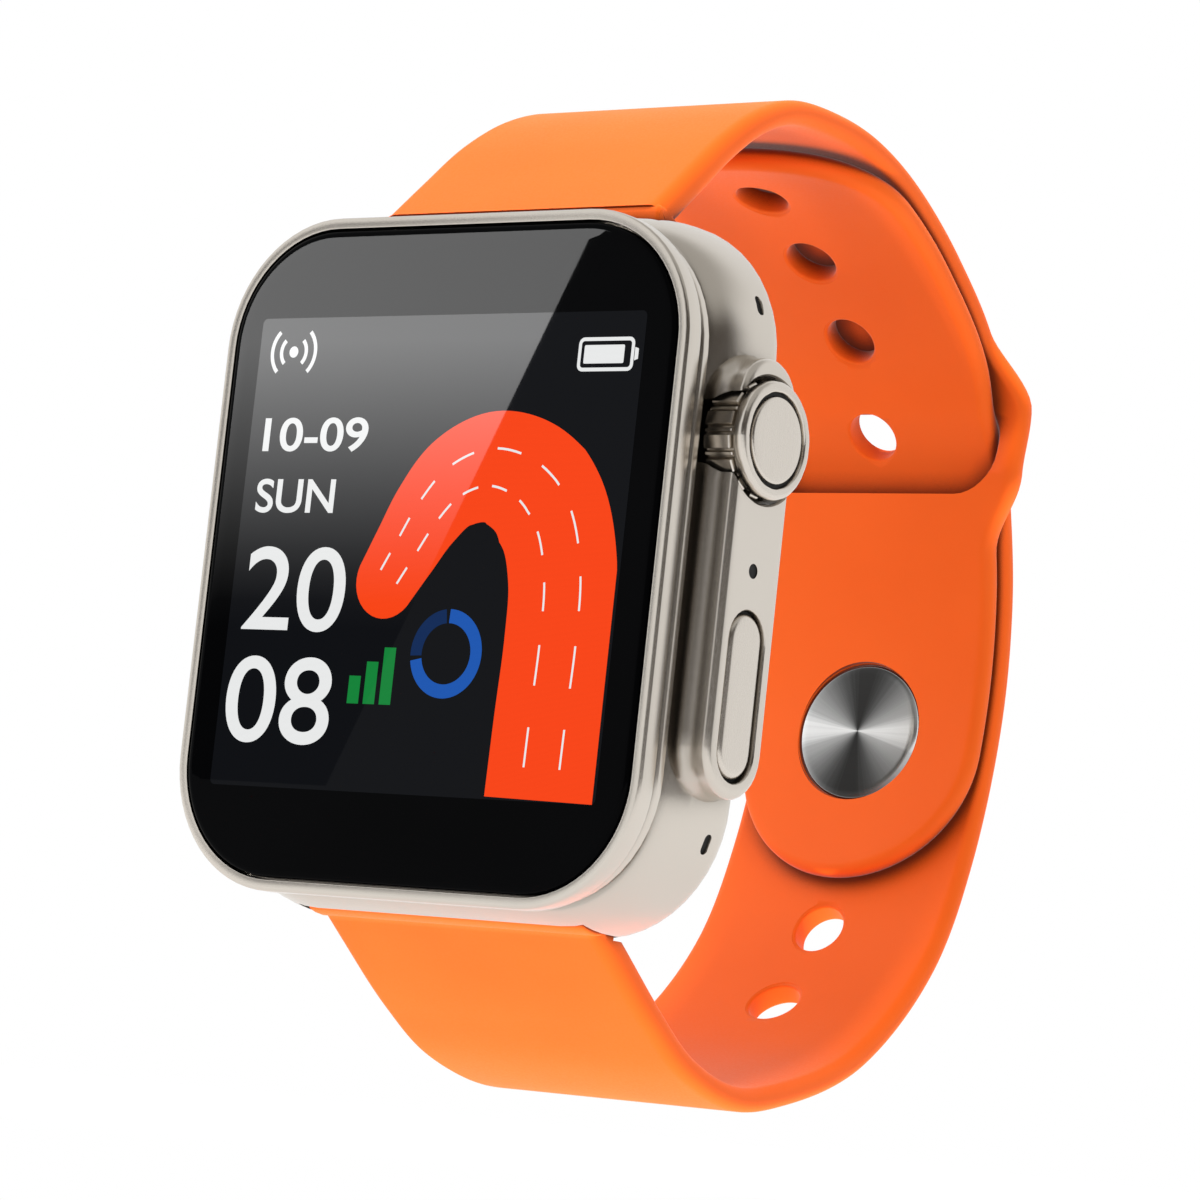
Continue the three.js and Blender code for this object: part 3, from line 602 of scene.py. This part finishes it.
def crown_cap():
    profile = [(0, 22.15), (2.9, 22.15), (2.9, 22.46), (2.88, 22.53), (2.82, 22.58), (2.7, 22.6),
               (2.2, 22.61), (1.2, 22.61), (0.0, 22.61)]
    made = lathe("crown_cap", profile, "X", 128, BRUSHED, CROWN)
    mount(made, "crown_knob", "crown_inlay")
    bead = [(2.91, 22.06), (3.19, 22.06), (3.19, 22.3), (3.05, 22.34), (2.91, 22.3)]
    made = lathe("crown_bead", bead, "X", 96, RUBBER, CROWN, ring=True)
    mount(made, "crown_knob")


def side_button():
    length, width = BUTTON_LENGTH - 2 * BUTTON_GAP, BUTTON_WIDTH - 2 * BUTTON_GAP
    profile = [(20.4, -0.1), (20.5, 0.0), (21.45, 0.0), (21.6, -0.04), (21.72, -0.13),
               (21.79, -0.26), (21.81, -0.42), (21.82, -0.9)]
    made = loft("button_cap", side_stations(length, width, BUTTON, profile), BRUSHED)
    stem = lathe("stem", [(0.7, 16.6), (0.7, 20.5)], "X", 32, centre=BUTTON)
    mount(unite(made, stem), "action_button", "side_button")
    wiper = [(19.75, -0.01), (21.3, -0.01), (21.3, -0.24), (19.75, -0.24)]
    made = loft("button_wiper", side_stations(BUTTON_LENGTH, BUTTON_WIDTH, BUTTON, wiper), RUBBER,
                ring=True)
    mount(made, "watch")


# ---------------- back of the watch


def rear_cover():
    profile = [(0.1, -1.95), (0.0, -1.85), (0.0, -1.5), (0.06, -1.3), (0.2, -1.12), (0.45, -1.0),
               (0.8, -0.955), (1.4, -0.95)]
    made = loft("back_plate", inset_stations(37.4, 45.8, 8.4, profile), METAL)
    boss = lathe("boss", [(12.9, -1.6), (15.9, -1.6), (15.9, -0.96), (15.6, -0.93), (15.3, -0.82),
                          (15.05, -0.6), (14.8, -0.42), (14.5, -0.35), (12.95, -0.35),
                          (12.8, -0.38)], "Y", 128, ring=True)
    hollow = lathe("hollow", [(10.4, -3), (10.4, -1.4), (12.7, -1.4), (12.7, -0.45),
                              (12.78, -0.36), (12.95, 1)], "Y", 96)
    tools = []
    for sx in (1, -1):
        for sz in (1, -1):
            tools.append(lathe("screw_seat", [(0.75, -3), (0.75, -1.6), (1.4, -1.6), (1.4, -1.02),
                                              (1.48, -0.94), (1.8, 0)], "Y", 40,
                               centre=(sx * SCREW_X, 0, sz * SCREW_Z)))
        tools.append(lathe("contact_hole", [(1.35, -3), (1.35, -1.02), (1.43, -0.94), (1.8, 0)],
                           "Y", 40, centre=(sx * CONTACT_X, 0, CONTACT_Z)))
    unite(made, boss)
    cut(made, hollow, *tools)
    return mount(made, "watch", "rear_cover")


def sensor_window():
    profile = [(0, -1.25), (12.5, -1.25), (12.5, -0.62), (12.46, -0.48), (12.36, -0.34),
               (12.15, -0.2), (11.8, -0.08), (11.4, -0.015), (10.9, 0.0), (0, 0.0)]
    return mount(lathe("sensor_glass", profile, "Y", 128, LENS), "watch", "sensor_window")


def rear_fittings():
    for side, where in ((1, "right"), (-1, "left")):
        profile = [(0, -2.6), (1.1, -2.6), (1.1, -1.0), (1.07, -0.92), (0.98, -0.87), (0.8, -0.85),
                   (0, -0.85)]
        made = lathe(f"contact_{where}", profile, "Y", 40, GOLD,
                     (side * CONTACT_X, 0, CONTACT_Z))
        mount(made, "watch", f"charging_contact_{where}")
    for index, (sx, sz) in enumerate([(1, 1), (1, -1), (-1, -1), (-1, 1)]):
        profile = [(0, -5.4), (0.5, -5.4), (0.5, -1.5), (1.15, -1.5), (1.15, -1.12), (1.1, -1.04),
                   (1.0, -1.0), (0, -1.0)]
        centre = (sx * SCREW_X, 0, sz * SCREW_Z)
        made = lathe(f"rear_screw_{index + 1}", profile, "Y", 40, DARK_METAL, centre)
        arms = []
        for turn in range(3):
            angle = math.radians(60 * turn)
            loop = []
            for a, b in rect_loop(0.24, 1.1, 0.1, steps=4, side=2):
                loop.append((a * math.cos(angle) - b * math.sin(angle),
                             a * math.sin(angle) + b * math.cos(angle)))
            arms.append(loft("arm", [[(centre[0] + a, y, centre[2] + b) for a, b in loop]
                                     for y in (-1.3, -0.9)]))
        mount(cut(made, *arms), "watch", f"case_screw_{index + 1}")


# ---------------- band paths


def spline(points, steps=80):
    """A centripetal Catmull-Rom curve through the points, as many short steps."""
    p = [np.array(q, float) for q in points]
    p = [2 * p[0] - p[1], *p, 2 * p[-1] - p[-2]]
    out = []
    for i in range(1, len(p) - 2):
        x0, x1, x2, x3 = p[i - 1:i + 3]
        d0, d1, d2 = (math.sqrt(np.linalg.norm(b - a)) for a, b in ((x0, x1), (x1, x2), (x2, x3)))
        t1 = ((x1 - x0) / d0 - (x2 - x0) / (d0 + d1) + (x2 - x1) / d1) * d1
        t2 = ((x2 - x1) / d1 - (x3 - x1) / (d1 + d2) + (x3 - x2) / d2) * d1
        for step in range(steps):
            t = step / steps
            out.append(x1 + t1 * t + (3 * (x2 - x1) - 2 * t1 - t2) * t**2
                       + (2 * (x1 - x2) + t1 + t2) * t**3)
    out.append(p[-2])
    return np.array(out)


class Path:
    """A line in the YZ plane, measured along its length."""

    def __init__(self, points):
        self.points = points
        steps = np.linalg.norm(np.diff(points, axis=0), axis=1)
        self.along = np.concatenate([[0], np.cumsum(steps)])
        self.length = self.along[-1]

    def at(self, distance):
        return np.array([np.interp(distance, self.along, self.points[:, k]) for k in (0, 1)])

    def tangent(self, distance):
        low, high = max(distance - 0.15, 0), min(distance + 0.15, self.length)
        step = self.at(high) - self.at(low)
        return step / np.linalg.norm(step)

    def near(self, target):
        places = np.linspace(0, self.length, 2401)
        gaps = [np.linalg.norm(self.at(s) - target) for s in places]
        return places[int(np.argmin(gaps))]


def smooth(start, end, value):
    """An eased step from 0 to 1."""
    t = min(max((value - start) / (end - start), 0), 1)
    return t * t * (3 - 2 * t)


OUTER = Path(spline(LOOP))


def loop_point(distance, depth):
    """A point some depth inside the outer layer, towards the wrist."""
    ty, tz = OUTER.tangent(distance)
    return OUTER.at(distance) + np.array([tz, -ty]) * depth


def layer_path(start, end, depth_at):
    places = np.linspace(start, end, 700)
    return Path(np.array([loop_point(s, depth_at(s)) for s in places]))


def share(distance):
    """How far the two layers have changed places on their way through the slot."""
    return smooth(SLOT_START + SLOT_RAMP, SLOT_END - SLOT_RAMP, distance)


TOP = layer_path(0, PIN_ALONG + BEYOND_PIN, lambda s: LAYER * share(s))
BOTTOM = layer_path(OUTER.length, TAIL_REACH, lambda s: LAYER * (1 - share(s)))
PIN_ON_TOP = TOP.near(loop_point(PIN_ALONG, LAYER))
PIN_ON_BOTTOM = BOTTOM.near(loop_point(PIN_ALONG, 0))


def stand_on(path, distance):
    """Maps (across, along, outwards) to the row frame at a distance along the path."""
    y, z = path.at(distance)
    ty, tz = path.tangent(distance)

    def place(a, b, out):
        return (a, y + ty * b - tz * out, z + tz * b + ty * out)

    return place


def standing_lathe(name, path, distance, profile, sides=48):
    place = stand_on(path, distance)
    turn = [2 * math.pi * i / sides for i in range(sides)]
    stations = [[place(r * math.cos(a), r * math.sin(a), out) for a in turn] for r, out in profile]
    return loft(name, stations)


# ---------------- band


def taper(end, distance):
    """A strap's half width, from its lug to its end."""
    return LUG_HALF + (end - LUG_HALF) * smooth(6, 42, distance)


def lug_thickness(distance):
    return LUG_THICK + (THICK - LUG_THICK) * smooth(4, 20, distance)


def strap_skin(name, path, half_at, end_half):
    """A strap with a full-width round end and rolled edges, bent along its path."""
    centre = path.length - end_half
    rows = list(np.arange(0, centre, 0.55))
    rows += list(centre + end_half * np.sin(np.linspace(0, math.pi / 2, 40)) * 0.99995)
    edge = [0.0, 0.03, 0.09, 0.18, 0.3, 0.45, 0.62, 0.8, 1.0]
    inside = np.linspace(-1, 1, 19)[1:-1]
    vertices = []
    for s in rows:
        beyond = max(s - centre, 0)
        half = half_at(s)
        if beyond:
            half *= math.sqrt(max(1 - (beyond / end_half) ** 2, 0))
        thick = lug_thickness(s)
        radius = 0.44 * thick
        tight = min(1.0, half / 1.4)
        across = [-(half - e * tight) for e in edge]
        across += [u * (half - edge[-1] * tight) for u in inside]
        across += [half - e * tight for e in reversed(edge)]
        place = stand_on(path, s)
        upper, lower = [], []
        for x in across:
            rest = half - abs(x)
            if beyond:
                rest = end_half - math.hypot(beyond, x)
            rest = min(max(rest, 0), radius)
            lift = thick / 2 - radius + math.sqrt(radius**2 - (radius - rest) ** 2)
            upper.append(place(x, 0, lift))
            lower.append(place(x, 0, -lift))
        vertices.append(upper + lower[::-1])
    return loft(name, vertices, ORANGE, degrees=50)


FOOT_FRONT = {
    1: [(-6.6, 25.15), (-6.9, 24.95), (-7.02, 24.6), (-7.05, 24.1)],
    -1: [(-5.3, 24.45), (-6.0, 24.35), (-6.6, 24.15), (-6.95, 23.85)],
}


def strap_foot(side):
    """The block at a strap's end that sits in the notch, its front running up to the strap."""
    outline = FOOT_FRONT[side] + [(-7.05, 21.9), (-6.8, 21.6), (-3.6, 21.6), (-3.35, 21.9),
                                  (-3.35, 24.2), (-4.6, 24.4)]
    stations = []
    for x, grow in [(-11.98, 0.22), (-11.88, 0.06), (-11.7, 0.0), (11.7, 0.0), (11.88, 0.06),
                    (11.98, 0.22)]:
        scale = 1 - grow / 2
        stations.append([(x, BAR_Y + (y - BAR_Y) * scale, side * (23.2 + (z - 23.2) * scale))
                         for y, z in outline])
    return loft("foot", stations)


def bar_bore(side):
    return lathe("bore", [(1.0, -14), (1.0, 14)], "X", 32, centre=(0, BAR_Y, side * BAR_Z))


def case_step(side):
    top = 24.57
    low, high = (0, top) if side > 0 else (-top, 0)
    stations = [[(x, -3.3, low), (x, 2, low), (x, 2, high), (x, -3.3, high)] for x in (-14, 14)]
    return loft("step", stations)


def rim_profile(radius, half, fillet=0.3):
    """A hole through a sheet, with a rolled rim on both sides."""
    turn = [math.radians(90 * i / 5) for i in range(6)]
    lower = [(radius + fillet * (1 - math.sin(a)), -half + fillet * (1 - math.cos(a)))
             for a in turn]
    upper = [(radius + fillet * (1 - math.sin(a)), half - fillet * (1 - math.cos(a)))
             for a in reversed(turn)]
    flare = radius + fillet
    return [(flare + 0.35, -half - 0.5), *lower, *upper, (flare + 0.35, half + 0.5)]


def slot_tool(distance, length):
    place = stand_on(TOP, distance)
    stations = []
    for grow, out in [(1.6, -1.7), (0.62, -1.0), (0.36, -0.78), (0.16, -0.52), (0.04, -0.28),
                      (0.0, 0.0), (0.04, 0.28), (0.16, 0.52), (0.36, 0.78), (0.62, 1.0),
                      (1.6, 1.7)]:
        loop = [place(a, b, out) for a, b in
                rect_loop(2 * (SLOT_HALF + grow), length + 2 * grow, (3.2 + grow, 2.6 + grow),
                          steps=8, side=12)]
        stations.append(loop)
    return loft("slot", stations)


def top_strap():
    start = TOP.near(loop_point(SLOT_START, 0))
    end = TOP.near(loop_point(SLOT_END, LAYER))
    middle = (start + end) / 2

    def half_at(s):
        bulge = 1 - smooth(2.5, 8.5, abs(s - middle))
        return taper(PANEL_HALF, s) + (WEB_HALF - PANEL_HALF) * bulge

    made = strap_skin("strap_upper", TOP, half_at, PANEL_HALF)
    unite(made, strap_foot(1))
    half = THICK / 2
    neck = standing_lathe("neck", TOP, PIN_ON_TOP, [(1.75, -4), (1.75, 4)])
    seat = standing_lathe("seat", TOP, PIN_ON_TOP, [
        (5.36, -half + 0.48), (5.36, -half + 0.12), (5.39, -half + 0.05), (5.46, -half),
        (5.5, -half - 2.0)], 96)
    cut(made, bar_bore(1), case_step(1), slot_tool(middle + 0.9, end - start - 2.8), neck, seat)
    shade(made.data, 50)
    return mount(made, "watch", "top_strap")


def bottom_strap():
    made = strap_skin("strap_lower", BOTTOM, lambda s: taper(TAIL_HALF, s), TAIL_HALF)
    unite(made, strap_foot(-1))
    cut(made, bar_bore(-1), case_step(-1))
    last = HOLE_COUNT - 1 - PIN_HOLE
    for index in range(HOLE_COUNT):
        distance = PIN_ON_BOTTOM + (index - last) * HOLE_PITCH
        cut(made, standing_lathe("hole", BOTTOM, distance,
                                 rim_profile(HOLE_RADIUS, THICK / 2, 0.22)))
    shade(made.data, 50)
    return mount(made, "watch", "bottom_strap")


def pin_parts():
    """The closing pin: a turned disc inside the band, and its stud outside."""
    y, z = TOP.at(PIN_ON_TOP)
    ty, tz = TOP.tangent(PIN_ON_TOP)
    half = THICK / 2
    base = [(0, -half - 0.12), (2.5, -half - 0.12), (4.6, -half - 0.11), (4.85, -half - 0.09),
            (5.02, -half - 0.03), (5.14, -half + 0.06), (5.2, -half + 0.2), (5.2, -half + 0.3),
            (0, -half + 0.3)]
    top = half + LAYER
    stud = [(0, -half + 0.6), (1.45, -half + 0.6), (1.45, top + 0.2), (1.5, top + 0.27),
            (2.3, top + 0.3), (2.46, top + 0.38), (2.5, top + 0.55), (2.44, top + 0.75),
            (2.2, top + 0.98), (1.7, top + 1.14), (1.0, top + 1.22), (0, top + 1.25)]
    for name, profile, material, replaced in (
        ("pin_disc", base, TURNED, "pin_base"), ("pin_head", stud, STEEL, "pin_stud"),
    ):
        made = lathe(name, profile, "Y", 96, material)
        made.matrix_world = (Matrix.Translation((0, y * MM, z * MM))
                             @ Matrix.Rotation(math.atan2(ty, -tz), 4, "X"))
        mount(made, "watch", replaced)


def spring_bars():
    for side, place in ((1, "top"), (-1, "bottom")):
        profile = [(0.52, -10.6), (0.7, -10.6), (0.75, -10.5), (0.75, -8.2), (0.68, -8.0),
                   (0.75, -7.8), (0.75, 7.8), (0.68, 8.0), (0.75, 8.2), (0.75, 10.5), (0.7, 10.6),
                   (0.52, 10.6)]
        made = lathe(f"bar_{place}", profile, "X", 32, STEEL, (0, BAR_Y, side * BAR_Z), ring=True)
        mount(made, "watch", f"{place}_spring_bar")
        for end, where in ((1, "right"), (-1, "left")):
            tip = [(0, 9.6), (0.4, 9.6), (0.4, 12.9), (0.36, 13.04), (0.24, 13.1), (0, 13.1)]
            tip = [(r, end * x) for r, x in tip]
            made = lathe(f"bar_{place}_tip_{where}", tip, "X", 32, STEEL,
                         (0, BAR_Y, side * BAR_Z))
            mount(made, f"{place}_tip_{where}", f"{place}_bar_tip_{where}")


# ---------------- display picture

PICTURE_Y, FILM_THICK = -13.2, 0.006
LIT_PARTS = []


def lit_piece(made):
    made.data.shade_flat()
    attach(made, "watch")
    LIT_PARTS.append(made)
    return made


def layer_front(layer):
    """Higher layers of the picture stand in front."""
    return PICTURE_Y - 0.004 * layer


def flat(name, outline, material, layer):
    """A thin lit shape on the glass."""
    y = layer_front(layer)
    stations = [[(x, y + t, z) for x, z in outline] for t in (0, FILM_THICK)]
    return lit_piece(loft(name, stations, material))


def sides(points, width):
    """The left and right edges of a line of some width through the points."""
    p = np.array(points, float)
    before, after = np.vstack([p[0], p[:-1]]), np.vstack([p[1:], p[-1]])
    into, away = p - before, after - p
    into[0], away[-1] = away[0], into[-1]
    into /= np.linalg.norm(into, axis=1)[:, None]
    away /= np.linalg.norm(away, axis=1)[:, None]
    direction = into + away
    direction /= np.linalg.norm(direction, axis=1)[:, None]
    normal = np.stack([-direction[:, 1], direction[:, 0]], axis=1)
    miter = np.clip((direction * into).sum(axis=1), 0.35, 1)
    reach = (np.broadcast_to(np.array(width, float), (len(p),)) / miter / 2)[:, None]
    return p + normal * reach, p - normal * reach


def stroke(name, points, width, material, layer):
    """A thin lit line, as a strip of four-sided faces."""
    left, right = sides(points, width)
    y = layer_front(layer)
    stations = [[(a[0], y, a[1]), (b[0], y, b[1]), (b[0], y + FILM_THICK, b[1]),
                 (a[0], y + FILM_THICK, a[1])] for a, b in zip(left, right)]
    return lit_piece(loft(name, stations, material))


def arc(cx, cz, radius, start, end, steps=24):
    turn = [math.radians(start + (end - start) * i / steps) for i in range(steps + 1)]
    return [(cx + radius * math.cos(a), cz + radius * math.sin(a)) for a in turn]


def text(name, words, material, box, layer, weight=0.0):
    """Words or numbers set to fill a box (left, bottom, right, top)."""
    curve = bpy.data.curves.new(name, "FONT")
    curve.body = words
    curve.size = 1.0
    curve.extrude = 0.0
    curve.offset = weight
    source = add(name, curve)
    bpy.context.view_layer.update()
    graph = bpy.context.evaluated_depsgraph_get()
    mesh = bpy.data.meshes.new_from_object(source.evaluated_get(graph))
    bpy.data.objects.remove(source)
    bpy.data.curves.remove(curve)
    points = np.array([v.co for v in mesh.vertices])
    low, high = points.min(axis=0), points.max(axis=0)
    left, bottom, right, top = box
    y = layer_front(layer)
    for vertex in mesh.vertices:
        u = (vertex.co.x - low[0]) / (high[0] - low[0])
        v = (vertex.co.y - low[1]) / (high[1] - low[1])
        vertex.co = Vector(((left + u * (right - left)) * MM, y * MM,
                            (bottom + v * (top - bottom)) * MM))
    mesh.update()
    mesh.materials.clear()
    mesh.materials.append(material)
    return lit_piece(add(name, mesh))


def picture():
    screen = lit("screen_dark", (0.0042, 0.0048, 0.0065))
    white = lit("screen_white", (0.86, 0.87, 0.87))
    red = lit("screen_orange", (1.0, 0.062, 0.007))
    blue = lit("screen_blue", (0.012, 0.10, 0.46))
    dim_blue = lit("screen_dim_blue", (0.004, 0.024, 0.10))
    green = lit("screen_green", (0.008, 0.24, 0.045))
    flat("screen_area", rect_loop(33.2, 32.8, 0.4, steps=4, side=2), screen, 1)

    text("date", "10-09", white, (-15.35, 6.95, -6.0, 9.35), 2, 0.014)
    text("weekday", "SUN", white, (-15.4, 2.65, -8.35, 5.05), 2, 0.014)
    text("hours", "20", white, (-15.4, -5.6, -6.45, 0.3), 2, 0.006)
    text("minutes", "08", white, (-16.0, -13.4, -6.6, -7.35), 2, 0.006)

    for index, radius in enumerate([1.12, 1.95]):
        for side in (0, 180):
            line = arc(-13.5, 14.0, radius, side - 46, side + 46, 12)
            stroke(f"signal_{index}_{side}", line, 0.3, white, 2)
    flat("signal_dot", arc(-13.5, 14.0, 0.4, 0, 345, 23), white, 2)

    for name, size, corner, steps, x, material, layer in (
        ("battery_frame", (4.6, 2.3), 0.45, 5, 13.55, white, 2),
        ("battery_gap", (4.1, 1.8), 0.22, 5, 13.55, screen, 3),
        ("battery_level", (3.3, 1.25), 0.1, 3, 13.4, white, 4),
    ):
        outline = rect_loop(*size, corner, steps=steps, side=2)
        flat(name, [(a + x, b + 13.5) for a, b in outline], material, layer)
    flat("battery_tip", [(15.9, 13.05), (16.2, 13.15), (16.2, 13.85), (15.9, 13.95)], white, 2)

    bend = [(11.9, -16.3), (12.0, -11.0), (12.15, -5.5), (11.9, -1.2), (10.6, 2.6), (8.2, 5.0),
            (5.0, 5.9), (2.0, 4.9), (0.0, 2.8), (-1.5, 0.4), (-2.9, -1.9)]
    line = spline(bend, 10)
    t = np.linspace(0, 1, len(line))
    width = 8.9 - 3.6 * np.clip((t - 0.45) / 0.55, 0, 1) ** 0.8
    left, right = sides(line, width)
    end = line[-1]
    angle = math.degrees(math.atan2(end[1] - line[-2][1], end[0] - line[-2][0]))
    cap = arc(end[0], end[1], width[-1] / 2, angle + 90, angle - 90, 18)[1:-1]
    outline = [tuple(q) for q in left] + cap + [tuple(q) for q in right[::-1]]
    flat("track", [(min(x, 16.35), z) for x, z in outline], red, 2)
    for side, lane in enumerate(sides(line, width / 3)):
        for start in range(4, len(lane) - 6, 10):
            stroke(f"lane_dash_{side}_{start}", lane[start:start + 6], 0.16, white, 3)

    ring, ring_rest = arc(2.9, -6.8, 2.55, 90, -170, 60), arc(2.9, -6.8, 2.55, 184, 96, 24)
    stroke("ring", ring, 0.95, blue, 2)
    stroke("ring_rest", ring_rest, 0.95, dim_blue, 2)
    for index, height in enumerate([1.9, 2.9, 3.9]):
        left, low = -5.2 + 1.4 * index, -10.4
        flat(f"level_bar_{index + 1}", [(left, low), (left + 1.0, low), (left + 1.0, low + height),
                                        (left, low + height)], green, 2)


# ---------------- CAD nodes that stay


def dress_frame():
    """Gives each inside node its look."""
    for material, names in (
        (RUBBER, "glass_gasket rear_gasket crown_o_ring button_seal"),
        (PLASTIC, "display_module inner_frame processor_chip speaker photodiode encoder_wheel"),
        (PLASTIC, "encoder_sensor"),
        (STEEL, "vibration_motor microphone crown_shaft crown_tube crown_thrust_plate"),
        (STEEL, "crown_switch button_switch"),
        (FOIL, "battery gps_module"), (BOARD, "main_board sensor_board"), (GOLD, "gps_antenna"),
        (FILM, "display_flex side_flex"), (LED, "sensor_led_right sensor_led_left"),
    ):
        for name in names.split():
            cad = frame["nodes"][name]
            cad.data.materials.clear()
            cad.data.materials.append(material)


# ---------------- camera

AZIMUTH, ELEVATION, ROLL = (math.radians(v) for v in (36.76, -6.48, 6.15))
FOCAL_LENGTH, DISTANCE, ASIDE, BELOW = 139.13, 0.31306, 0.01193, 0.00317


def camera():
    low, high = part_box("cover_glass")
    target = Vector(((low.x + high.x) / 2, low.y, (low.z + high.z) / 2))
    level = math.cos(ELEVATION)
    back = Vector((math.sin(AZIMUTH) * level, -math.cos(AZIMUTH) * level, math.sin(ELEVATION)))
    aside = Vector((math.cos(AZIMUTH), math.sin(AZIMUTH), 0))
    upright = back.cross(aside)
    right = aside * math.cos(ROLL) + upright * math.sin(ROLL)
    up = upright * math.cos(ROLL) - aside * math.sin(ROLL)
    made = add("camera", bpy.data.cameras.new("camera"))
    made.data.sensor_width = 36
    made.data.lens = FOCAL_LENGTH
    made.data.clip_start = 0.01
    made.data.clip_end = 20
    made.location = target + back * DISTANCE + right * ASIDE - up * BELOW
    made.rotation_mode = "QUATERNION"
    made.rotation_quaternion = Matrix((right, up, back)).transposed().to_quaternion()
    scene.camera = made
    return made


# ---------------- stage and lights


def world():
    """White to the eye; a soft studio for the light, with dark flags off to the crown side."""
    made = bpy.data.worlds.new("studio")
    scene.world = made
    made.use_nodes = True
    background = made.node_tree.nodes["Background"]
    where = node(made, "ShaderNodeTexCoord")

    def toward(direction, start, end):
        """From 0 at start degrees off a direction to 1 at end degrees."""
        dot = node(made, "ShaderNodeVectorMath", operation="DOT_PRODUCT")
        dot.inputs[1].default_value = Vector(direction).normalized()
        wire(made, where.outputs["Generated"], dot.inputs[0])
        return eased(made, dot.outputs["Value"], math.cos(math.radians(start)),
                     math.cos(math.radians(end)))

    light = mixed_colour(made, toward((0.85, -0.5, 0.05), 74, 52), (0.93, 0.93, 0.93),
                         (0.06, 0.05, 0.042))
    light = mixed_colour(made, toward((0.35, -0.05, 0.95), 50, 25), light, (0.5, 0.49, 0.47))
    path = node(made, "ShaderNodeLightPath")
    seen = mixed_colour(made, path.outputs["Is Camera Ray"], light, (1.0, 1.0, 1.0))
    wire(made, seen, background.inputs["Color"])
    background.inputs["Strength"].default_value = 1.0


def area_light(name, place, aim, size, power):
    light = bpy.data.lights.new(name, "AREA")
    light.shape = "SQUARE"
    light.size = size
    light.energy = power
    made = add(name, light)
    made.location = place
    made.rotation_mode = "QUATERNION"
    made.rotation_quaternion = (Vector(aim) - Vector(place)).to_track_quat("-Z", "Y")
    made.visible_glossy = False
    return made


def floor():
    """A pale floor just under the band."""
    mesh = bpy.data.meshes.new("floor")
    half, z = 3.0, -0.0373
    mesh.from_pydata([(-half, -half, z), (half, -half, z), (half, half, z), (-half, half, z)], [],
                     [(0, 1, 2, 3)])
    material, shader = principled("pale_floor", Base_Color=(0.3, 0.3, 0.3), Roughness=0.9)
    shader.inputs["Emission Color"].default_value = (1, 1, 1, 1)
    shader.inputs["Emission Strength"].default_value = 0.8
    mesh.materials.append(material)
    made = add("floor", mesh)
    return made


def reflected(eye, x, z, plane):
    """Where a look from the eye at a point of the glass is thrown, on a plane in front."""
    point = Vector((x, PICTURE_Y, z)) * MM
    ray = point - eye
    ray.y = -ray.y
    return point + ray * ((plane - point.y) / ray.y)


def gloss_card(eye):
    """A soft box before the display, whose edge falls across the glass as a diagonal."""
    (x0, z0), (x1, z1) = (13.9, 27.4), (-6.2, -16.1)
    rows = 24
    vertices, faces, glow = [], [], []
    for row in range(rows + 1):
        t = row / rows
        x, z = x0 + (x1 - x0) * t, z0 + (z1 - z0) * t
        for side in (x, -40):
            vertices.append(reflected(eye, side, z, -0.25))
            glow.append(min(max((z + 4.5) / 19, 0), 1) ** 1.6)
    for row in range(rows):
        a = 2 * row
        faces.append((a, a + 1, a + 3, a + 2))
    mesh = bpy.data.meshes.new("gloss_card")
    mesh.from_pydata(vertices, [], faces)
    attribute = mesh.attributes.new("glow", "FLOAT", "POINT")
    attribute.data.foreach_set("value", glow)
    material = bpy.data.materials.new("gloss_card")
    material.use_nodes = True
    material.node_tree.nodes.clear()
    value = node(material, "ShaderNodeAttribute", attribute_name="glow")
    emission = node(material, "ShaderNodeEmission")
    output = node(material, "ShaderNodeOutputMaterial")
    strength = calculate(material, "MULTIPLY", value.outputs["Fac"], 56.0)
    wire(material, strength, emission.inputs["Strength"])
    wire(material, emission.outputs[0], output.inputs["Surface"])
    mesh.materials.append(material)
    made = add("gloss_card", mesh)
    made.visible_camera = False
    made.visible_diffuse = False
    made.visible_shadow = False
    return made


def gathered(name, objects):
    group = bpy.data.collections.new(name)
    for made in objects:
        group.objects.link(made)
    return group


def link_only(light, objects, blockers=None):
    """Lets a light fall on some objects only, and be shadowed by the blockers only."""
    light.light_linking.receiver_collection = gathered("lit_by_" + light.name, objects)
    if blockers:
        light.light_linking.blocker_collection = gathered("shade_" + light.name, blockers)


def strap_lights(straps):
    """Soft boxes that bring out the straps; the metal does not mirror the orange."""
    for strap in straps:
        strap.visible_glossy = False
    watch = [made for made in scene.objects if made.type == "MESH"]
    for name, place, aim, size, power in (
        ("strap_left_light", (-0.5, -0.25, 0.35), (0, 0.01, 0), 0.6, 1.8),
        ("strap_upper_light", (0, 0.02, 0.62), (0, 0.01, 0), 0.1, 4.4),
        ("strap_lower_light", (0, 0.2, -0.6), (0, 0.01, -0.03), 0.08, 4.8),
        ("strap_side_light", (0.6, -0.3, 0.15), (0, 0.01, 0), 0.4, 1.4),
    ):
        link_only(area_light(name, place, aim, size, power), straps, watch)


# ---------------- the whole scene

dress_frame()
glass = cover_glass()
bezel_ring()
mid_case()
port_liners()
crown_knob()
crown_cap()
side_button()
rear_cover()
sensor_window()
rear_fittings()
straps = [top_strap(), bottom_strap()]
pin_parts()
spring_bars()
picture()

strap_lights(straps)
eye = camera()
world()
floor()
link_only(gloss_card(eye.location), [glass, *LIT_PARTS])
